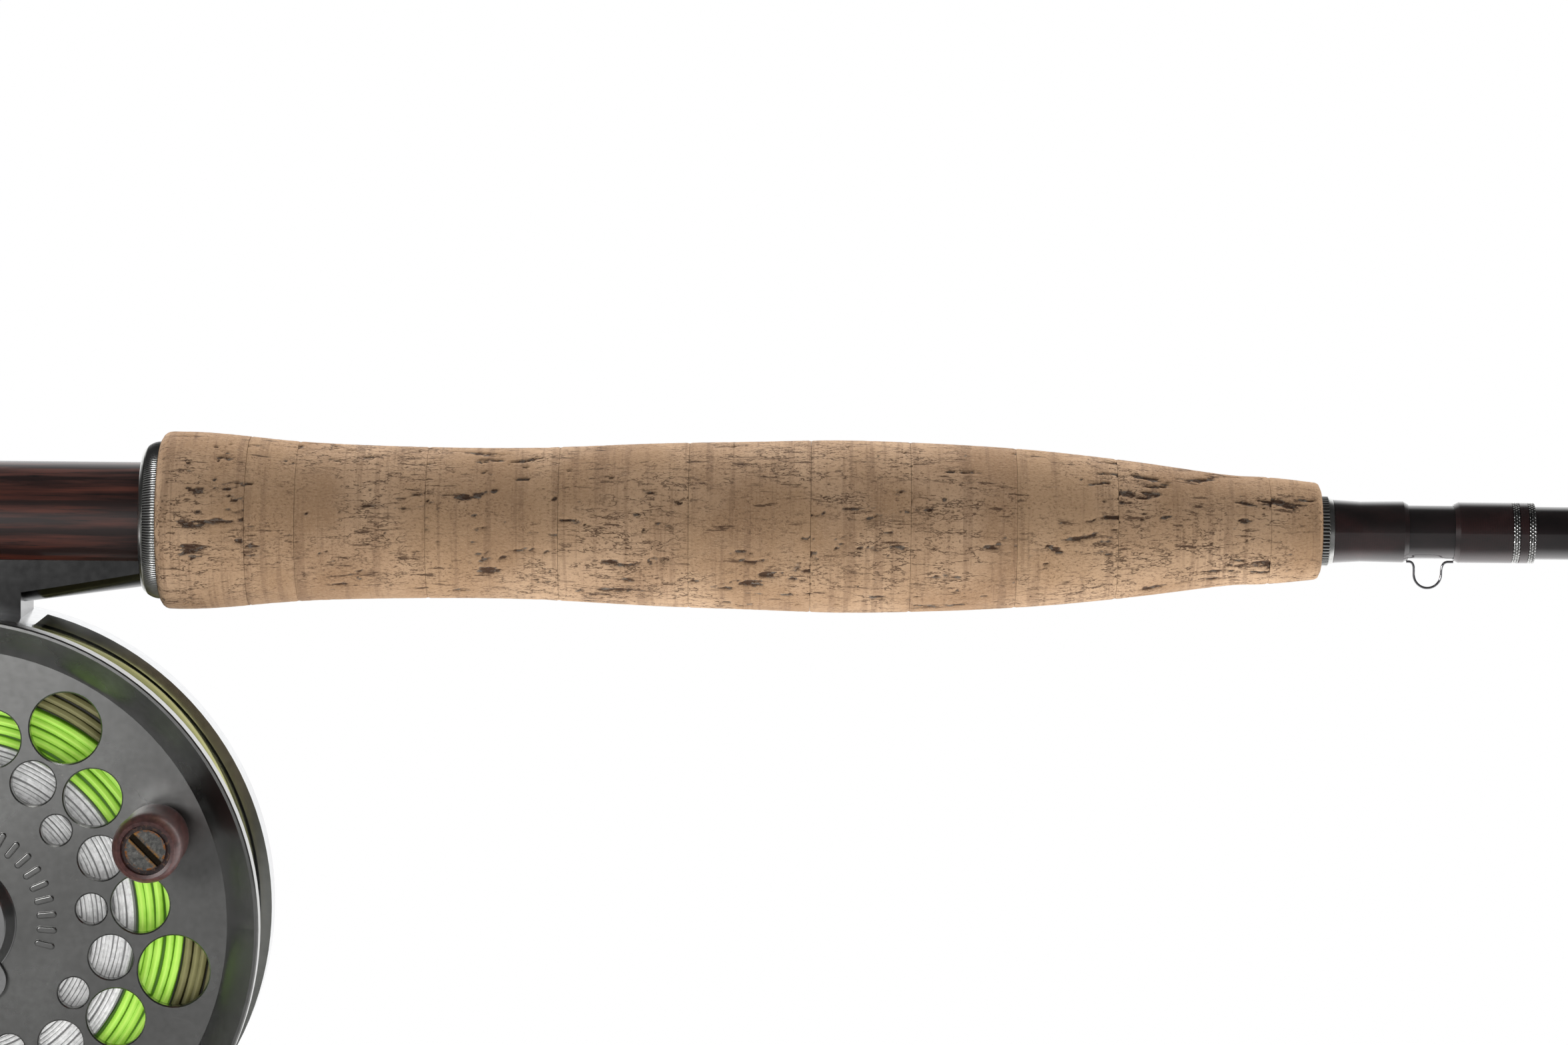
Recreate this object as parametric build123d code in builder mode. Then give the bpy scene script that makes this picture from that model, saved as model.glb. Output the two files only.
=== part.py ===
from build123d import *
from math import cos, radians, sin
import os

# A four-piece fly rod, assembled, with a fly reel clamped in its seat.
# Millimetres. +X runs along the rod from butt to tip, +Z is up, the reel hangs below the rod.
# The origin is on the rod's axis at the flat end of the butt cap.

os.makedirs("parts", exist_ok=True)

# --- driving dimensions: the rod -----------------------------------------------------------
fit_gap = 0.05          # radial clearance of turning and sliding fits

cap_length = 12.0
cap_radius = 10.4
thread_start = 9.0
thread_end = 50.0
thread_radius = 8.3
thread_pitch = 1.5
barrel_radius = 8.45    # the wood the reel foot lies on

nut_radius = 10.8
ring_start = 107.3      # domed, knurled ring at the mouth of the recessed hood
ring_radius = 11.5
hood_radius = 10.4
grip_start = 110.0
grip_end = 279.3
hood_depth = 9.0
cork_bore = 4.4
cork_lengths = [12.85, 7.2, 18.9, 19.2, 18.9, 17.7, 14.5, 15.4, 14.7, 22.3]   # the last ring takes the rest
grip_profile = [        # distance ahead of the grip's rear end, radius
    (1.4, 12.98), (8.0, 12.8), (17.5, 11.9), (27.0, 11.35), (40.0, 11.05), (54.0, 11.1),
    (72.0, 11.9), (90.0, 12.4), (97.0, 12.6), (108.0, 12.45), (118.0, 12.05), (128.0, 11.4),
    (138.0, 10.4), (147.5, 9.2), (157.0, 8.0), (166.8, 7.3),
]
grip_rear_flat = 11.7
grip_front_flat = 6.0

check_length = 1.9
check_radius = 5.1
rear_wrap_end = 292.1
front_wrap_start = 298.8
front_wrap_end = 310.6
keeper_wire = 0.4
keeper_mid = 295.15
keeper_half = 2.0
keeper_low = -8.2

# each section: butt end, tip end, radius at each
section_1 = (8.0, 640.0, 4.3, 3.4)
section_2 = (590.0, 1240.0, 4.25, 3.0)
section_3 = (1195.0, 1840.0, 3.85, 2.3)
section_4 = (1800.0, 2436.0, 3.1, 0.8)
wrap_thickness = 0.3
wrap_gap = 0.02
ferrule_cover = 12.0

stripping_x = 802.0
stripping_drop = 11.0
stripping_bore = 5.0
snakes_2 = [1081.0]
snakes_3 = [1322.0, 1538.0, 1729.0]
snakes_4 = [1907.0, 2059.0, 2199.0, 2326.0]
snake_wire = 0.5
snake_reach = 4.6
snake_half = 4.4
foot_run = 8.0
tip_ring_bore = 2.0

# --- driving dimensions: the reel ----------------------------------------------------------
spindle_x = 80.8
spindle_z = -57.9
spindle_radius = 3.0

rim_radius = 44.8
rim_front_y = -17.0
rim_rear_y = -13.1
face_y = -12.4
plate = 2.0
bevel_radius = 39.85
arbor_radius = 16.0
rear_flange_y = 7.0
flange_plate = 1.4
spool_hub_end = 1.0

hole_angle = 60.1       # first big hole, anticlockwise from +X seen from the front
big_ring, big_hole = 32.85, 5.2
medium_ring, medium_hole = 27.42, 4.25
small_ring, small_hole = 23.52, 3.25
tiny_ring, tiny_hole = 20.29, 2.25
hole_edge = 0.2
mark_ring = 13.75
mark_height = 0.35
handle_angle = hole_angle - 36.0
weight_angle = handle_angle + 180.0

backing_radius = 26.65
green_radius = 33.4
olive_radius = 41.6

band_front_y = 6.4
band_rear_y = 12.4
band_wall = 1.6
back_plate = 2.0
boss_radius = 11.0
boss_front_y = 4.0

knob_length = 18.9
knob_front_y = -32.0
knob_radius = 4.95
post_radius = 1.6

foot_half_width = 6.4
foot_half_length = 33.0
foot_tip_radius = 8.85
foot_root_radius = 12.1
pedestal_half = 9.2
pedestal_rear_y = 9.0

spindle_axis = Axis((spindle_x, 0, spindle_z), (0, 1, 0))
reel_section = Plane(origin=(spindle_x, 0, spindle_z))


def save(piece, label):
    piece.part.label = label
    export_step(piece.part, f"parts/{label}.step")


def facing(y, turned=0.0):
    # a plane across the spindle, its normal towards the reel's front, its x axis turned from +X
    x_dir = (cos(radians(turned)), 0, sin(radians(turned)))
    return Plane(origin=(spindle_x, y, spindle_z), x_dir=x_dir, z_dir=(0, -1, 0))


def turn_about_rod(outline):
    # outline points are (distance along the rod, radius)
    with BuildPart() as turned:
        with BuildSketch(Plane.XZ):
            with BuildLine():
                Polyline(*outline, close=True)
            make_face()
        revolve(axis=Axis.X)
    return turned


def turn_about_spindle(outline):
    # outline points are (radius, depth along Y)
    with BuildPart() as turned:
        with BuildSketch(reel_section):
            with BuildLine():
                Polyline(*outline, close=True)
            make_face()
        revolve(axis=spindle_axis)
    return turned


def tube(start, end, bore, radius):
    return turn_about_rod([(start, bore), (end, bore), (end, radius), (start, radius)])


def disc(inner, outer, front, rear):
    return turn_about_spindle([(inner, front), (outer, front), (outer, rear), (inner, rear)])


def taper(section, x):
    # outer radius of a blank section at x
    start, end, butt, tip = section
    return butt + (tip - butt) * (x - start) / (end - start)


# --- butt cap and the threaded barrel of the reel seat -------------------------------------
with BuildPart() as butt_cap:
    with BuildSketch(Plane.XZ):
        with BuildLine():
            Polyline(
                (0, 0), (0, cap_radius - 1.2), (1.2, cap_radius), (cap_length - 1, cap_radius),
                (cap_length, cap_radius - 1), (cap_length, thread_radius + fit_gap),
                (thread_start - 1, thread_radius + fit_gap), (thread_start - 1, 0), close=True,
            )
        make_face()
    revolve(axis=Axis.X)
save(butt_cap, "butt_cap")

groove_depth = 0.45
thread_outline = [(thread_start, 4.5), (thread_start, thread_radius)]
for turn in range(int((thread_end - thread_start - 8.0) / thread_pitch)):
    x = cap_length + 1.0 + turn * thread_pitch
    thread_outline += [
        (x, thread_radius), (x + 0.3 * thread_pitch, thread_radius - groove_depth),
        (x + 0.6 * thread_pitch, thread_radius),
    ]
thread_outline += [(thread_end, thread_radius), (thread_end, 4.5)]
threaded_barrel = turn_about_rod(thread_outline)
save(threaded_barrel, "threaded_barrel")

wood_insert = tube(thread_end, grip_start + hood_depth, 4.5, barrel_radius)
save(wood_insert, "wood_insert")

# --- reel foot: a tapered saddle on a short pedestal ---------------------------------------
band_bore = rim_radius - band_wall
screw_x = 5.5
screw_shank = 1.2
screw_head = 2.1
screw_head_height = 0.7
screw_head_z = spindle_z + band_bore - 0.45
screw_top_z = -9.8

# two screws from inside the bridge up into the foot
with BuildPart() as foot_screws:
    for side in (-1, 1):
        place = (spindle_x + side * screw_x, 0)
        with BuildSketch(Plane.XY.offset(screw_head_z)):
            with Locations(place):
                Circle(screw_head)
        extrude(amount=screw_head_height)
        with BuildSketch(Plane.XY.offset(screw_head_z + screw_head_height)):
            with Locations(place):
                Circle(screw_shank)
        extrude(amount=screw_top_z - screw_head_z - screw_head_height)
save(foot_screws, "foot_screws")

tip_front = spindle_x + foot_half_length
tip_rear = spindle_x - foot_half_length
with BuildPart() as reel_foot:
    with BuildSketch(Plane.XZ):
        with BuildLine():
            Polyline(
                (tip_rear, barrel_radius), (tip_front, barrel_radius), (tip_front, foot_tip_radius),
                (spindle_x + pedestal_half, foot_root_radius), (spindle_x - pedestal_half, foot_root_radius),
                (tip_rear, foot_tip_radius), close=True,
            )
        make_face()
    revolve(axis=Axis.X)
    with Locations((spindle_x, 0, -20)):
        Box(4 * foot_half_length, 2 * foot_half_width, 40, mode=Mode.INTERSECT)
    pedestal_depth = pedestal_rear_y + foot_half_width
    with Locations((spindle_x, pedestal_rear_y - pedestal_depth / 2, -11.0)):
        Box(2 * pedestal_half, pedestal_depth, 10.0)
    with Locations(Location((spindle_x, 0, 0), (0, 90, 0))):
        Cylinder(barrel_radius, 4 * pedestal_half, mode=Mode.SUBTRACT)
    with Locations(Location((spindle_x, 0, spindle_z), (90, 0, 0))):
        Cylinder(rim_radius, 60, mode=Mode.SUBTRACT)
    add(foot_screws.part, mode=Mode.SUBTRACT)
save(reel_foot, "reel_foot")

# --- recessed hood at the grip, and its knurled ring ---------------------------------------
def foot_pocket(growth):
    # the hollow that the tip of the reel foot lies in
    with BuildPart() as pocket:
        with BuildSketch(Plane.XZ):
            with BuildLine():
                Polyline(
                    (ring_start - 1, 0), (tip_front + growth, 0), (tip_front + growth, foot_tip_radius + growth),
                    (ring_start - 1, foot_tip_radius + growth + 0.9), close=True,
                )
            make_face()
        revolve(axis=Axis.X)
        with Locations((ring_start, 0, -20)):
            Box(60, 2 * (foot_half_width + growth), 40, mode=Mode.INTERSECT)
    return pocket


hood_pocket = foot_pocket(0.3)
with BuildPart() as hood_ring:
    with BuildSketch(Plane.XZ):
        with BuildLine():
            Polyline(
                (ring_start, barrel_radius), (grip_start, barrel_radius), (grip_start, ring_radius),
                (ring_start + 2.2, ring_radius), (ring_start + 1.6, ring_radius - 0.1),
                (ring_start + 1.15, ring_radius - 0.32), (ring_start + 0.75, ring_radius - 0.65),
                (ring_start + 0.65, ring_radius - 0.95), (ring_start + 0.55, ring_radius - 0.85),
                (ring_start + 0.15, ring_radius - 1.1), (ring_start, ring_radius - 1.35), close=True,
            )
        make_face()
    revolve(axis=Axis.X)
    add(hood_pocket.part, mode=Mode.SUBTRACT)
save(hood_ring, "hood_ring")

with BuildPart() as fixed_hood:
    with BuildSketch(Plane.XZ):
        with BuildLine():
            Polyline(
                (grip_start, barrel_radius), (grip_start + hood_depth, barrel_radius),
                (grip_start + hood_depth, hood_radius - 0.4), (grip_start, hood_radius), close=True,
            )
        make_face()
    revolve(axis=Axis.X)
    add(hood_pocket.part, mode=Mode.SUBTRACT)
save(fixed_hood, "fixed_hood")

# --- sliding hood and lock nut -------------------------------------------------------------
hood_bore = barrel_radius + fit_gap
hood_rear = 41.0
hood_front = 57.0
hood_mouth = 10.3
sliding_hood = turn_about_rod([
    (hood_rear, hood_bore), (tip_rear - 0.5, hood_bore), (tip_rear - 0.5, foot_tip_radius + 0.35),
    (hood_front, hood_mouth), (hood_front, hood_mouth + 0.9), (hood_front - 1, hood_mouth + 1.1),
    (hood_rear + 2, nut_radius + 0.3), (hood_rear, nut_radius),
])
save(sliding_hood, "sliding_hood")

nut_start = 32.0
nut_end = hood_rear - 0.1
nut_groove = 0.6
lock_nut = turn_about_rod([
    (nut_start, hood_bore), (nut_end, hood_bore), (nut_end, nut_radius - 0.4),
    (nut_end - 0.5, nut_radius), (nut_end - 3.6, nut_radius), (nut_end - 4.0, nut_radius - nut_groove),
    (nut_end - 4.8, nut_radius - nut_groove), (nut_end - 5.2, nut_radius),
    (nut_start + 0.5, nut_radius), (nut_start, nut_radius - 0.5),
])
save(lock_nut, "lock_nut")

# --- cork grip, glued up from rings --------------------------------------------------------
grip_points = [(grip_start + along, radius) for along, radius in grip_profile]
ring_edges = [grip_start]
for length in cork_lengths:
    ring_edges.append(ring_edges[-1] + length)
ring_edges.append(grip_end)

for index in range(len(ring_edges) - 1):
    ring_from, ring_to = ring_edges[index], ring_edges[index + 1]
    with BuildPart() as cork_ring:
        with BuildSketch(Plane.XZ):
            with BuildLine():
                Line((grip_start, cork_bore), (grip_start, grip_rear_flat))
                crown = Spline(*grip_points, tangents=[(1, 0.02), (1, -0.12)])
                TangentArc(crown @ 0, (grip_start, grip_rear_flat), tangent=(-1, -0.02))
                Line((grip_end, grip_front_flat), (grip_end, cork_bore))
                TangentArc(crown @ 1, (grip_end, grip_front_flat), tangent=(1, -0.12))
                Line((grip_end, cork_bore), (grip_start, cork_bore))
            make_face()
        revolve(axis=Axis.X)
        with Locations(Location(((ring_from + ring_to) / 2, 0, 0), (0, 90, 0))):
            Cylinder(20, ring_to - ring_from, mode=Mode.INTERSECT)
        if index == 0:
            with Locations(Location((grip_start + hood_depth / 2, 0, 0), (0, 90, 0))):
                Cylinder(hood_radius, hood_depth, mode=Mode.SUBTRACT)
    save(cork_ring, f"cork_ring_{index + 1:02d}")

# --- winding check, keeper wraps and hook keeper -------------------------------------------
check_end = grip_end + check_length
winding_check = turn_about_rod([
    (grip_end, cork_bore), (check_end, cork_bore), (check_end, check_radius - 0.5),
    (check_end - 0.5, check_radius - 0.4), (check_end - 0.6, check_radius), (grip_end, check_radius),
])
save(winding_check, "winding_check")

with BuildPart() as keeper_wrap_rear:
    with BuildSketch(Plane.XZ):
        with BuildLine():
            Polyline(
                (check_end, 3.95), (rear_wrap_end, 3.95), (rear_wrap_end, 4.1),
                (rear_wrap_end - 0.7, 4.5), (check_end + 4.0, 4.4), (check_end, 4.65), close=True,
            )
        make_face()
    revolve(axis=Axis.X)
save(keeper_wrap_rear, "keeper_wrap_rear")

trim_starts = [front_wrap_end - 3.4, front_wrap_end - 1.1]
trim_width = 1.1
with BuildPart() as keeper_wrap_front:
    with BuildSketch(Plane.XZ):
        with BuildLine():
            Polyline(
                (front_wrap_start, 3.92), (front_wrap_end, 3.92), (front_wrap_end, 4.15),
                (trim_starts[1], 4.2), (trim_starts[1], 4.45), (trim_starts[0] + trim_width, 4.45),
                (trim_starts[0] + trim_width, 4.2), (trim_starts[0], 4.2), (trim_starts[0], 4.45),
                (front_wrap_start + 0.7, 4.45), (front_wrap_start, 4.1), close=True,
            )
        make_face()
    revolve(axis=Axis.X)
save(keeper_wrap_front, "keeper_wrap_front")

with BuildPart() as trim_bands:
    for start in trim_starts:
        with Locations(Location((start + trim_width / 2, 0, 0), (0, 90, 0))):
            Cylinder(4.42, trim_width - 0.04)
            Cylinder(4.22, trim_width + 1, mode=Mode.SUBTRACT)
save(trim_bands, "trim_bands")

# the keeper's wire: out of the rear wrap, down round a low bow, and up under the front wrap
keeper_top = -(taper(section_1, rear_wrap_end) + keeper_wire / 2 + 0.25)
bow_z = keeper_low + keeper_half
with BuildPart() as hook_keeper:
    with BuildLine() as keeper_line:
        rear_foot = Line((rear_wrap_end - 0.1, 0, keeper_top), (rear_wrap_end + 0.25, 0, keeper_top))
        rear_leg = Spline(
            rear_foot @ 1, (keeper_mid - keeper_half, 0, bow_z), tangents=[(1, 0, 0), (0, 0, -1)],
        )
        bow = ThreePointArc(rear_leg @ 1, (keeper_mid, 0, keeper_low), (keeper_mid + keeper_half, 0, bow_z))
        front_leg = Spline(
            bow @ 1, (front_wrap_start - 0.6, 0, keeper_top), tangents=[(0, 0, 1), (1, 0, 0)],
        )
        Line(front_leg @ 1, (front_wrap_start + 0.1, 0, keeper_top))
    with BuildSketch(Plane(keeper_line.line @ 0, z_dir=keeper_line.line % 0)):
        Circle(keeper_wire / 2)
    sweep()
save(hook_keeper, "hook_keeper")

# --- blank sections ------------------------------------------------------------------------
butt_wall = 1.0
blank_butt = turn_about_rod([
    (section_1[0], section_1[2] - butt_wall), (section_1[1], section_1[3] - butt_wall),
    (section_1[1], section_1[3]), (section_1[0], section_1[2]),
])
save(blank_butt, "blank_butt")


def blank_section(section, inner, socket, tip_bore):
    # a tapered tube whose rear end is a socket over the tip of the section before it
    start, end, butt, tip = section
    socket_end = inner[1] + 4.0
    mouth_bore = taper(inner, start) + fit_gap
    seat_bore = taper(inner, socket_end) + fit_gap
    outline = [(start, mouth_bore), (socket_end, seat_bore)]
    if tip_bore > 0:
        outline += [(socket_end + 8.0, seat_bore - socket), (end, tip_bore)]
    else:
        outline += [(socket_end, 0), (end, 0)]
    outline += [(end, tip), (start, butt)]
    return turn_about_rod(outline)


blank_section_2 = blank_section(section_2, section_1, 0.5, section_2[3] - 0.8)
save(blank_section_2, "blank_section_2")
blank_section_3 = blank_section(section_3, section_2, 0.4, section_3[3] - 0.7)
save(blank_section_3, "blank_section_3")
blank_section_4 = blank_section(section_4, section_3, 0.0, 0.0)
save(blank_section_4, "blank_section_4")

# --- guides --------------------------------------------------------------------------------
snake_feet = snake_half + foot_run - 1.5


def snake_guides(section, places):
    # an arch of wire set askew under the blank, with a flattened foot at each end
    with BuildPart() as snakes:
        for x in places:
            under = -(taper(section, x - snake_feet) + snake_wire)
            skew = 0.34
            with BuildLine() as wire:
                FilletPolyline(
                    (x - snake_feet, 0, under), (x - snake_half, 0, under),
                    (x - 0.62 * snake_half, skew * snake_half, under - snake_reach),
                    (x + 0.62 * snake_half, -skew * snake_half, under - snake_reach),
                    (x + snake_half, 0, under), (x + snake_feet, 0, under),
                    radius=1.0,
                )
            with BuildSketch(Plane(wire.line @ 0, z_dir=wire.line % 0)):
                Circle(snake_wire)
            sweep(path=wire.line)
    return snakes


def thread_wraps(section, spans, guides, foot_radius):
    # whipping over the blank and over the guides' feet, a sleeve for each span
    with BuildPart() as wraps:
        for start, end, over_foot in spans:
            with BuildSketch(Plane.XZ):
                with BuildLine():
                    Polyline(
                        (start, taper(section, start)), (end, taper(section, end)),
                        (end, taper(section, end) + 0.1), (end - 1, taper(section, end) + wrap_thickness),
                        (start + 1, taper(section, start) + wrap_thickness),
                        (start, taper(section, start) + 0.1), close=True,
                    )
                make_face()
            revolve(axis=Axis.X)
            if over_foot:
                middle = (start + end) / 2
                with Locations(Location((middle, 0, -taper(section, middle) - foot_radius), (0, 90, 0))):
                    Cylinder(foot_radius + 0.25, end - start - 0.5)
        start, end, butt, tip = section
        with BuildSketch(Plane.XZ):
            with BuildLine():
                Polyline((start, 0), (end, 0), (end, tip + wrap_gap), (start, butt + wrap_gap), close=True)
            make_face()
        revolve(axis=Axis.X, mode=Mode.SUBTRACT)
        add(guides.part, mode=Mode.SUBTRACT)
    return wraps


def foot_spans(places, inner, outer):
    # one wrap over each foot of every guide
    spans = []
    for x in places:
        spans.append((x - outer, x - inner, True))
        spans.append((x + inner, x + outer, True))
    return spans


# stripping guide: a ring held in a frame with two legs to a foot on each side
with BuildPart() as stripping_guide:
    guide_z = -(taper(section_2, stripping_x) + stripping_drop)
    with BuildSketch(Plane(origin=(stripping_x - 1.0, 0, guide_z), z_dir=(1, 0, 0))):
        Circle(stripping_bore + 1.9)
        Circle(stripping_bore + 1.0, mode=Mode.SUBTRACT)
    extrude(amount=2.0)
    leg_top = -(taper(section_2, stripping_x - 20.0) + 0.62)
    for side in (-1, 1):
        with BuildLine() as leg:
            FilletPolyline(
                (stripping_x + side * 1.0, 0, guide_z + stripping_bore + 1.5),
                (stripping_x + side * 9.0, 0, leg_top), (stripping_x + side * 19.0, 0, leg_top),
                radius=4.0,
            )
        with BuildSketch(Plane(leg.line @ 0, z_dir=leg.line % 0)):
            Circle(0.6)
        sweep(path=leg.line)
save(stripping_guide, "stripping_guide")

ring_bead = 0.48
with BuildPart() as stripping_ring:
    with BuildSketch(Plane.XZ):
        with Locations((stripping_x, guide_z + stripping_bore + ring_bead)):
            RectangleRounded(2.6, 2 * ring_bead, 0.4)
    revolve(axis=Axis((0, 0, guide_z), (1, 0, 0)))
save(stripping_ring, "stripping_ring")

snake_guides_2 = snake_guides(section_2, snakes_2)
save(snake_guides_2, "snake_guide_2")
snake_guides_3 = snake_guides(section_3, snakes_3)
save(snake_guides_3, "snake_guides_3")
snake_guides_4 = snake_guides(section_4, snakes_4)
save(snake_guides_4, "snake_guides_4")

tip_start = section_4[1] - 12.0
tip_end = section_4[1] + 1.2
tip_tube_radius = taper(section_4, tip_start) + 0.35
tip_ring_z = -(tip_ring_bore + 1.2)
with BuildPart() as tip_top:
    with Locations(Location(((tip_start + tip_end) / 2, 0, 0), (0, 90, 0))):
        Cylinder(tip_tube_radius, tip_end - tip_start)
    with BuildSketch(Plane.XZ):
        with BuildLine():
            Polyline(
                (tip_start, 0), (section_4[1], 0), (section_4[1], section_4[3]),
                (tip_start, taper(section_4, tip_start)), close=True,
            )
        make_face()
    revolve(axis=Axis.X, mode=Mode.SUBTRACT)
    with BuildSketch(Plane.XZ):
        with Locations((tip_end - 0.6, tip_ring_z + tip_ring_bore + 0.6)):
            Circle(0.6)
    revolve(axis=Axis((0, 0, tip_ring_z), (1, 0, 0)))
save(tip_top, "tip_top")

leg_inner, leg_outer = 9.5, 20.5
snake_inner, snake_outer = snake_half + 0.6, snake_feet + 1.5
spans_2 = [(section_2[0] + 1, section_2[0] + 1 + ferrule_cover, False)]
spans_2 += foot_spans([stripping_x], leg_inner, leg_outer) + foot_spans(snakes_2, snake_inner, snake_outer)
spans_3 = [(section_3[0] + 1, section_3[0] + 1 + ferrule_cover, False)]
spans_3 += foot_spans(snakes_3, snake_inner, snake_outer)
spans_4 = [(section_4[0] + 1, section_4[0] + 1 + ferrule_cover, False)]
spans_4 += foot_spans(snakes_4, snake_inner, snake_outer)
with BuildPart() as guides_2:
    add(stripping_guide.part)
    add(snake_guides_2.part)
save(thread_wraps(section_2, spans_2, guides_2, 0.6), "guide_wraps_2")
save(thread_wraps(section_3, spans_3, snake_guides_3, snake_wire), "guide_wraps_3")
save(thread_wraps(section_4, spans_4, snake_guides_4, snake_wire), "guide_wraps_4")

# --- reel frame: back plate, rear band, and the bridge under the foot ----------------------
bridge_half_angle = 15.0
vent_ring, vent_hole, vent_count = 34.5, 4.6, 10
small_vent_ring, small_vent_hole = 27.5, 2.4

with BuildPart() as reel_frame:
    with BuildSketch(facing(band_rear_y)):
        Circle(rim_radius)
        with PolarLocations(vent_ring, vent_count):
            Circle(vent_hole, mode=Mode.SUBTRACT)
        with PolarLocations(small_vent_ring, vent_count, start_angle=180 / vent_count):
            Circle(small_vent_hole, mode=Mode.SUBTRACT)
    extrude(amount=back_plate)
    with BuildSketch(facing(band_rear_y)):
        Circle(rim_radius)
        Circle(band_bore, mode=Mode.SUBTRACT)
    extrude(amount=band_rear_y - band_front_y)
    with BuildSketch(facing(band_front_y)):
        with BuildLine():
            arc_start = 90 - bridge_half_angle
            CenterArc((0, 0), rim_radius, arc_start, 2 * bridge_half_angle)
            CenterArc((0, 0), band_bore, arc_start, 2 * bridge_half_angle)
            for angle in (arc_start, arc_start + 2 * bridge_half_angle):
                c, s = cos(radians(angle)), sin(radians(angle))
                Line((band_bore * c, band_bore * s), (rim_radius * c, rim_radius * s))
        make_face()
    extrude(amount=band_front_y - rim_rear_y - 0.2)
    with BuildSketch(facing(band_rear_y)):
        Circle(boss_radius)
    extrude(amount=band_rear_y - boss_front_y)
    with BuildSketch(facing(band_rear_y)):
        Circle(spindle_radius)
    extrude(amount=band_rear_y - boss_front_y, mode=Mode.SUBTRACT)
    # the window's ends are rounded where the bridge meets the rim
    bridge_ends = reel_frame.edges().filter_by(
        lambda edge: edge.center().Y < rim_rear_y + 0.3 and abs(edge.length - band_wall) < 0.01
    )
    fillet(bridge_ends, 4.0)
    add(foot_screws.part, mode=Mode.SUBTRACT)
save(reel_frame, "reel_frame")

# --- spindle, drag and click ---------------------------------------------------------------
cap_front_y = -15.2
latch_front_y = -13.75
latch_rear_y = -12.95
groove_radius = 2.3
drag_plate_rear_y = 2.5
stud_end_y = 19.0
spindle = turn_about_spindle([
    (0, cap_front_y + 0.9), (spindle_radius - 0.4, cap_front_y + 0.9), (spindle_radius, cap_front_y + 1.2),
    (spindle_radius, latch_front_y - 0.1), (groove_radius, latch_front_y - 0.1),
    (groove_radius, latch_rear_y + 0.1), (spindle_radius, latch_rear_y + 0.1),
    (spindle_radius, stud_end_y), (0, stud_end_y),
])
save(spindle, "spindle")

drag_washer = disc(spindle_radius, boss_radius, drag_plate_rear_y + 0.1, boss_front_y)
save(drag_washer, "drag_washer")
drag_plate = disc(spindle_radius + fit_gap, boss_radius, spool_hub_end, drag_plate_rear_y)
save(drag_plate, "drag_plate")

drag_springs = turn_about_spindle([
    (spindle_radius, band_rear_y + 0.7), (6.0, band_rear_y), (6.0, band_rear_y + 0.6),
    (3.6, band_rear_y + 1.2), (6.0, band_rear_y + 1.8), (6.0, band_rear_y + 2.4),
    (spindle_radius, band_rear_y + 1.7),
])
save(drag_springs, "drag_springs")

drag_knob_front = band_rear_y + 0.3
drag_knob_rear = drag_knob_front + 7.8
drag_knob_radius = 12.5
grip_flutes = 24
with BuildPart() as drag_knob:
    with BuildSketch(facing(drag_knob_rear)):
        Circle(drag_knob_radius)
        with PolarLocations(drag_knob_radius + 0.35, grip_flutes):
            Circle(0.9, mode=Mode.SUBTRACT)
    extrude(amount=drag_knob_rear - drag_knob_front)
    chamfer(drag_knob.faces().sort_by(Axis.Y)[-1].edges(), 0.4)
    with BuildSketch(facing(drag_knob_front + 2.8)):
        Circle(6.6)
    extrude(amount=2.8, mode=Mode.SUBTRACT)
    with BuildSketch(facing(stud_end_y + 0.3)):
        Circle(spindle_radius + fit_gap)
    extrude(amount=stud_end_y + 0.3 - drag_knob_front, mode=Mode.SUBTRACT)
save(drag_knob, "drag_knob")

gear_front_y = rear_flange_y + flange_plate
gear_rear_y = gear_front_y + 1.2
gear_root = 17.2
gear_tip = 18.0
tooth_count = 40
with BuildPart() as click_gear:
    with BuildSketch(facing(gear_rear_y)):
        Circle(gear_root)
        with PolarLocations((gear_root + gear_tip) / 2 - 0.2, tooth_count):
            Rectangle(gear_tip - gear_root + 0.4, 1.1)
        Circle(arbor_radius - 1.4, mode=Mode.SUBTRACT)
    extrude(amount=gear_rear_y - gear_front_y)
save(click_gear, "click_gear")

pawl_angle = 200.0
plate_front_y = band_rear_y - back_plate
with BuildPart() as click_pawl:
    with BuildSketch(facing(plate_front_y, pawl_angle)):
        with BuildLine():
            Polyline((gear_tip + 0.25, 0), (gear_tip + 1.6, 1.4), (23.0, 1.4), (23.0, -1.4), (gear_tip + 1.6, -1.4),
                     close=True)
        make_face()
    extrude(amount=1.5)
save(click_pawl, "click_pawl")
with BuildPart() as click_spring:
    with BuildSketch(facing(plate_front_y, pawl_angle)):
        with Locations((23.3, 0)):
            Rectangle(0.5, 9.0)
    extrude(amount=1.2)
save(click_spring, "click_spring")

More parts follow.
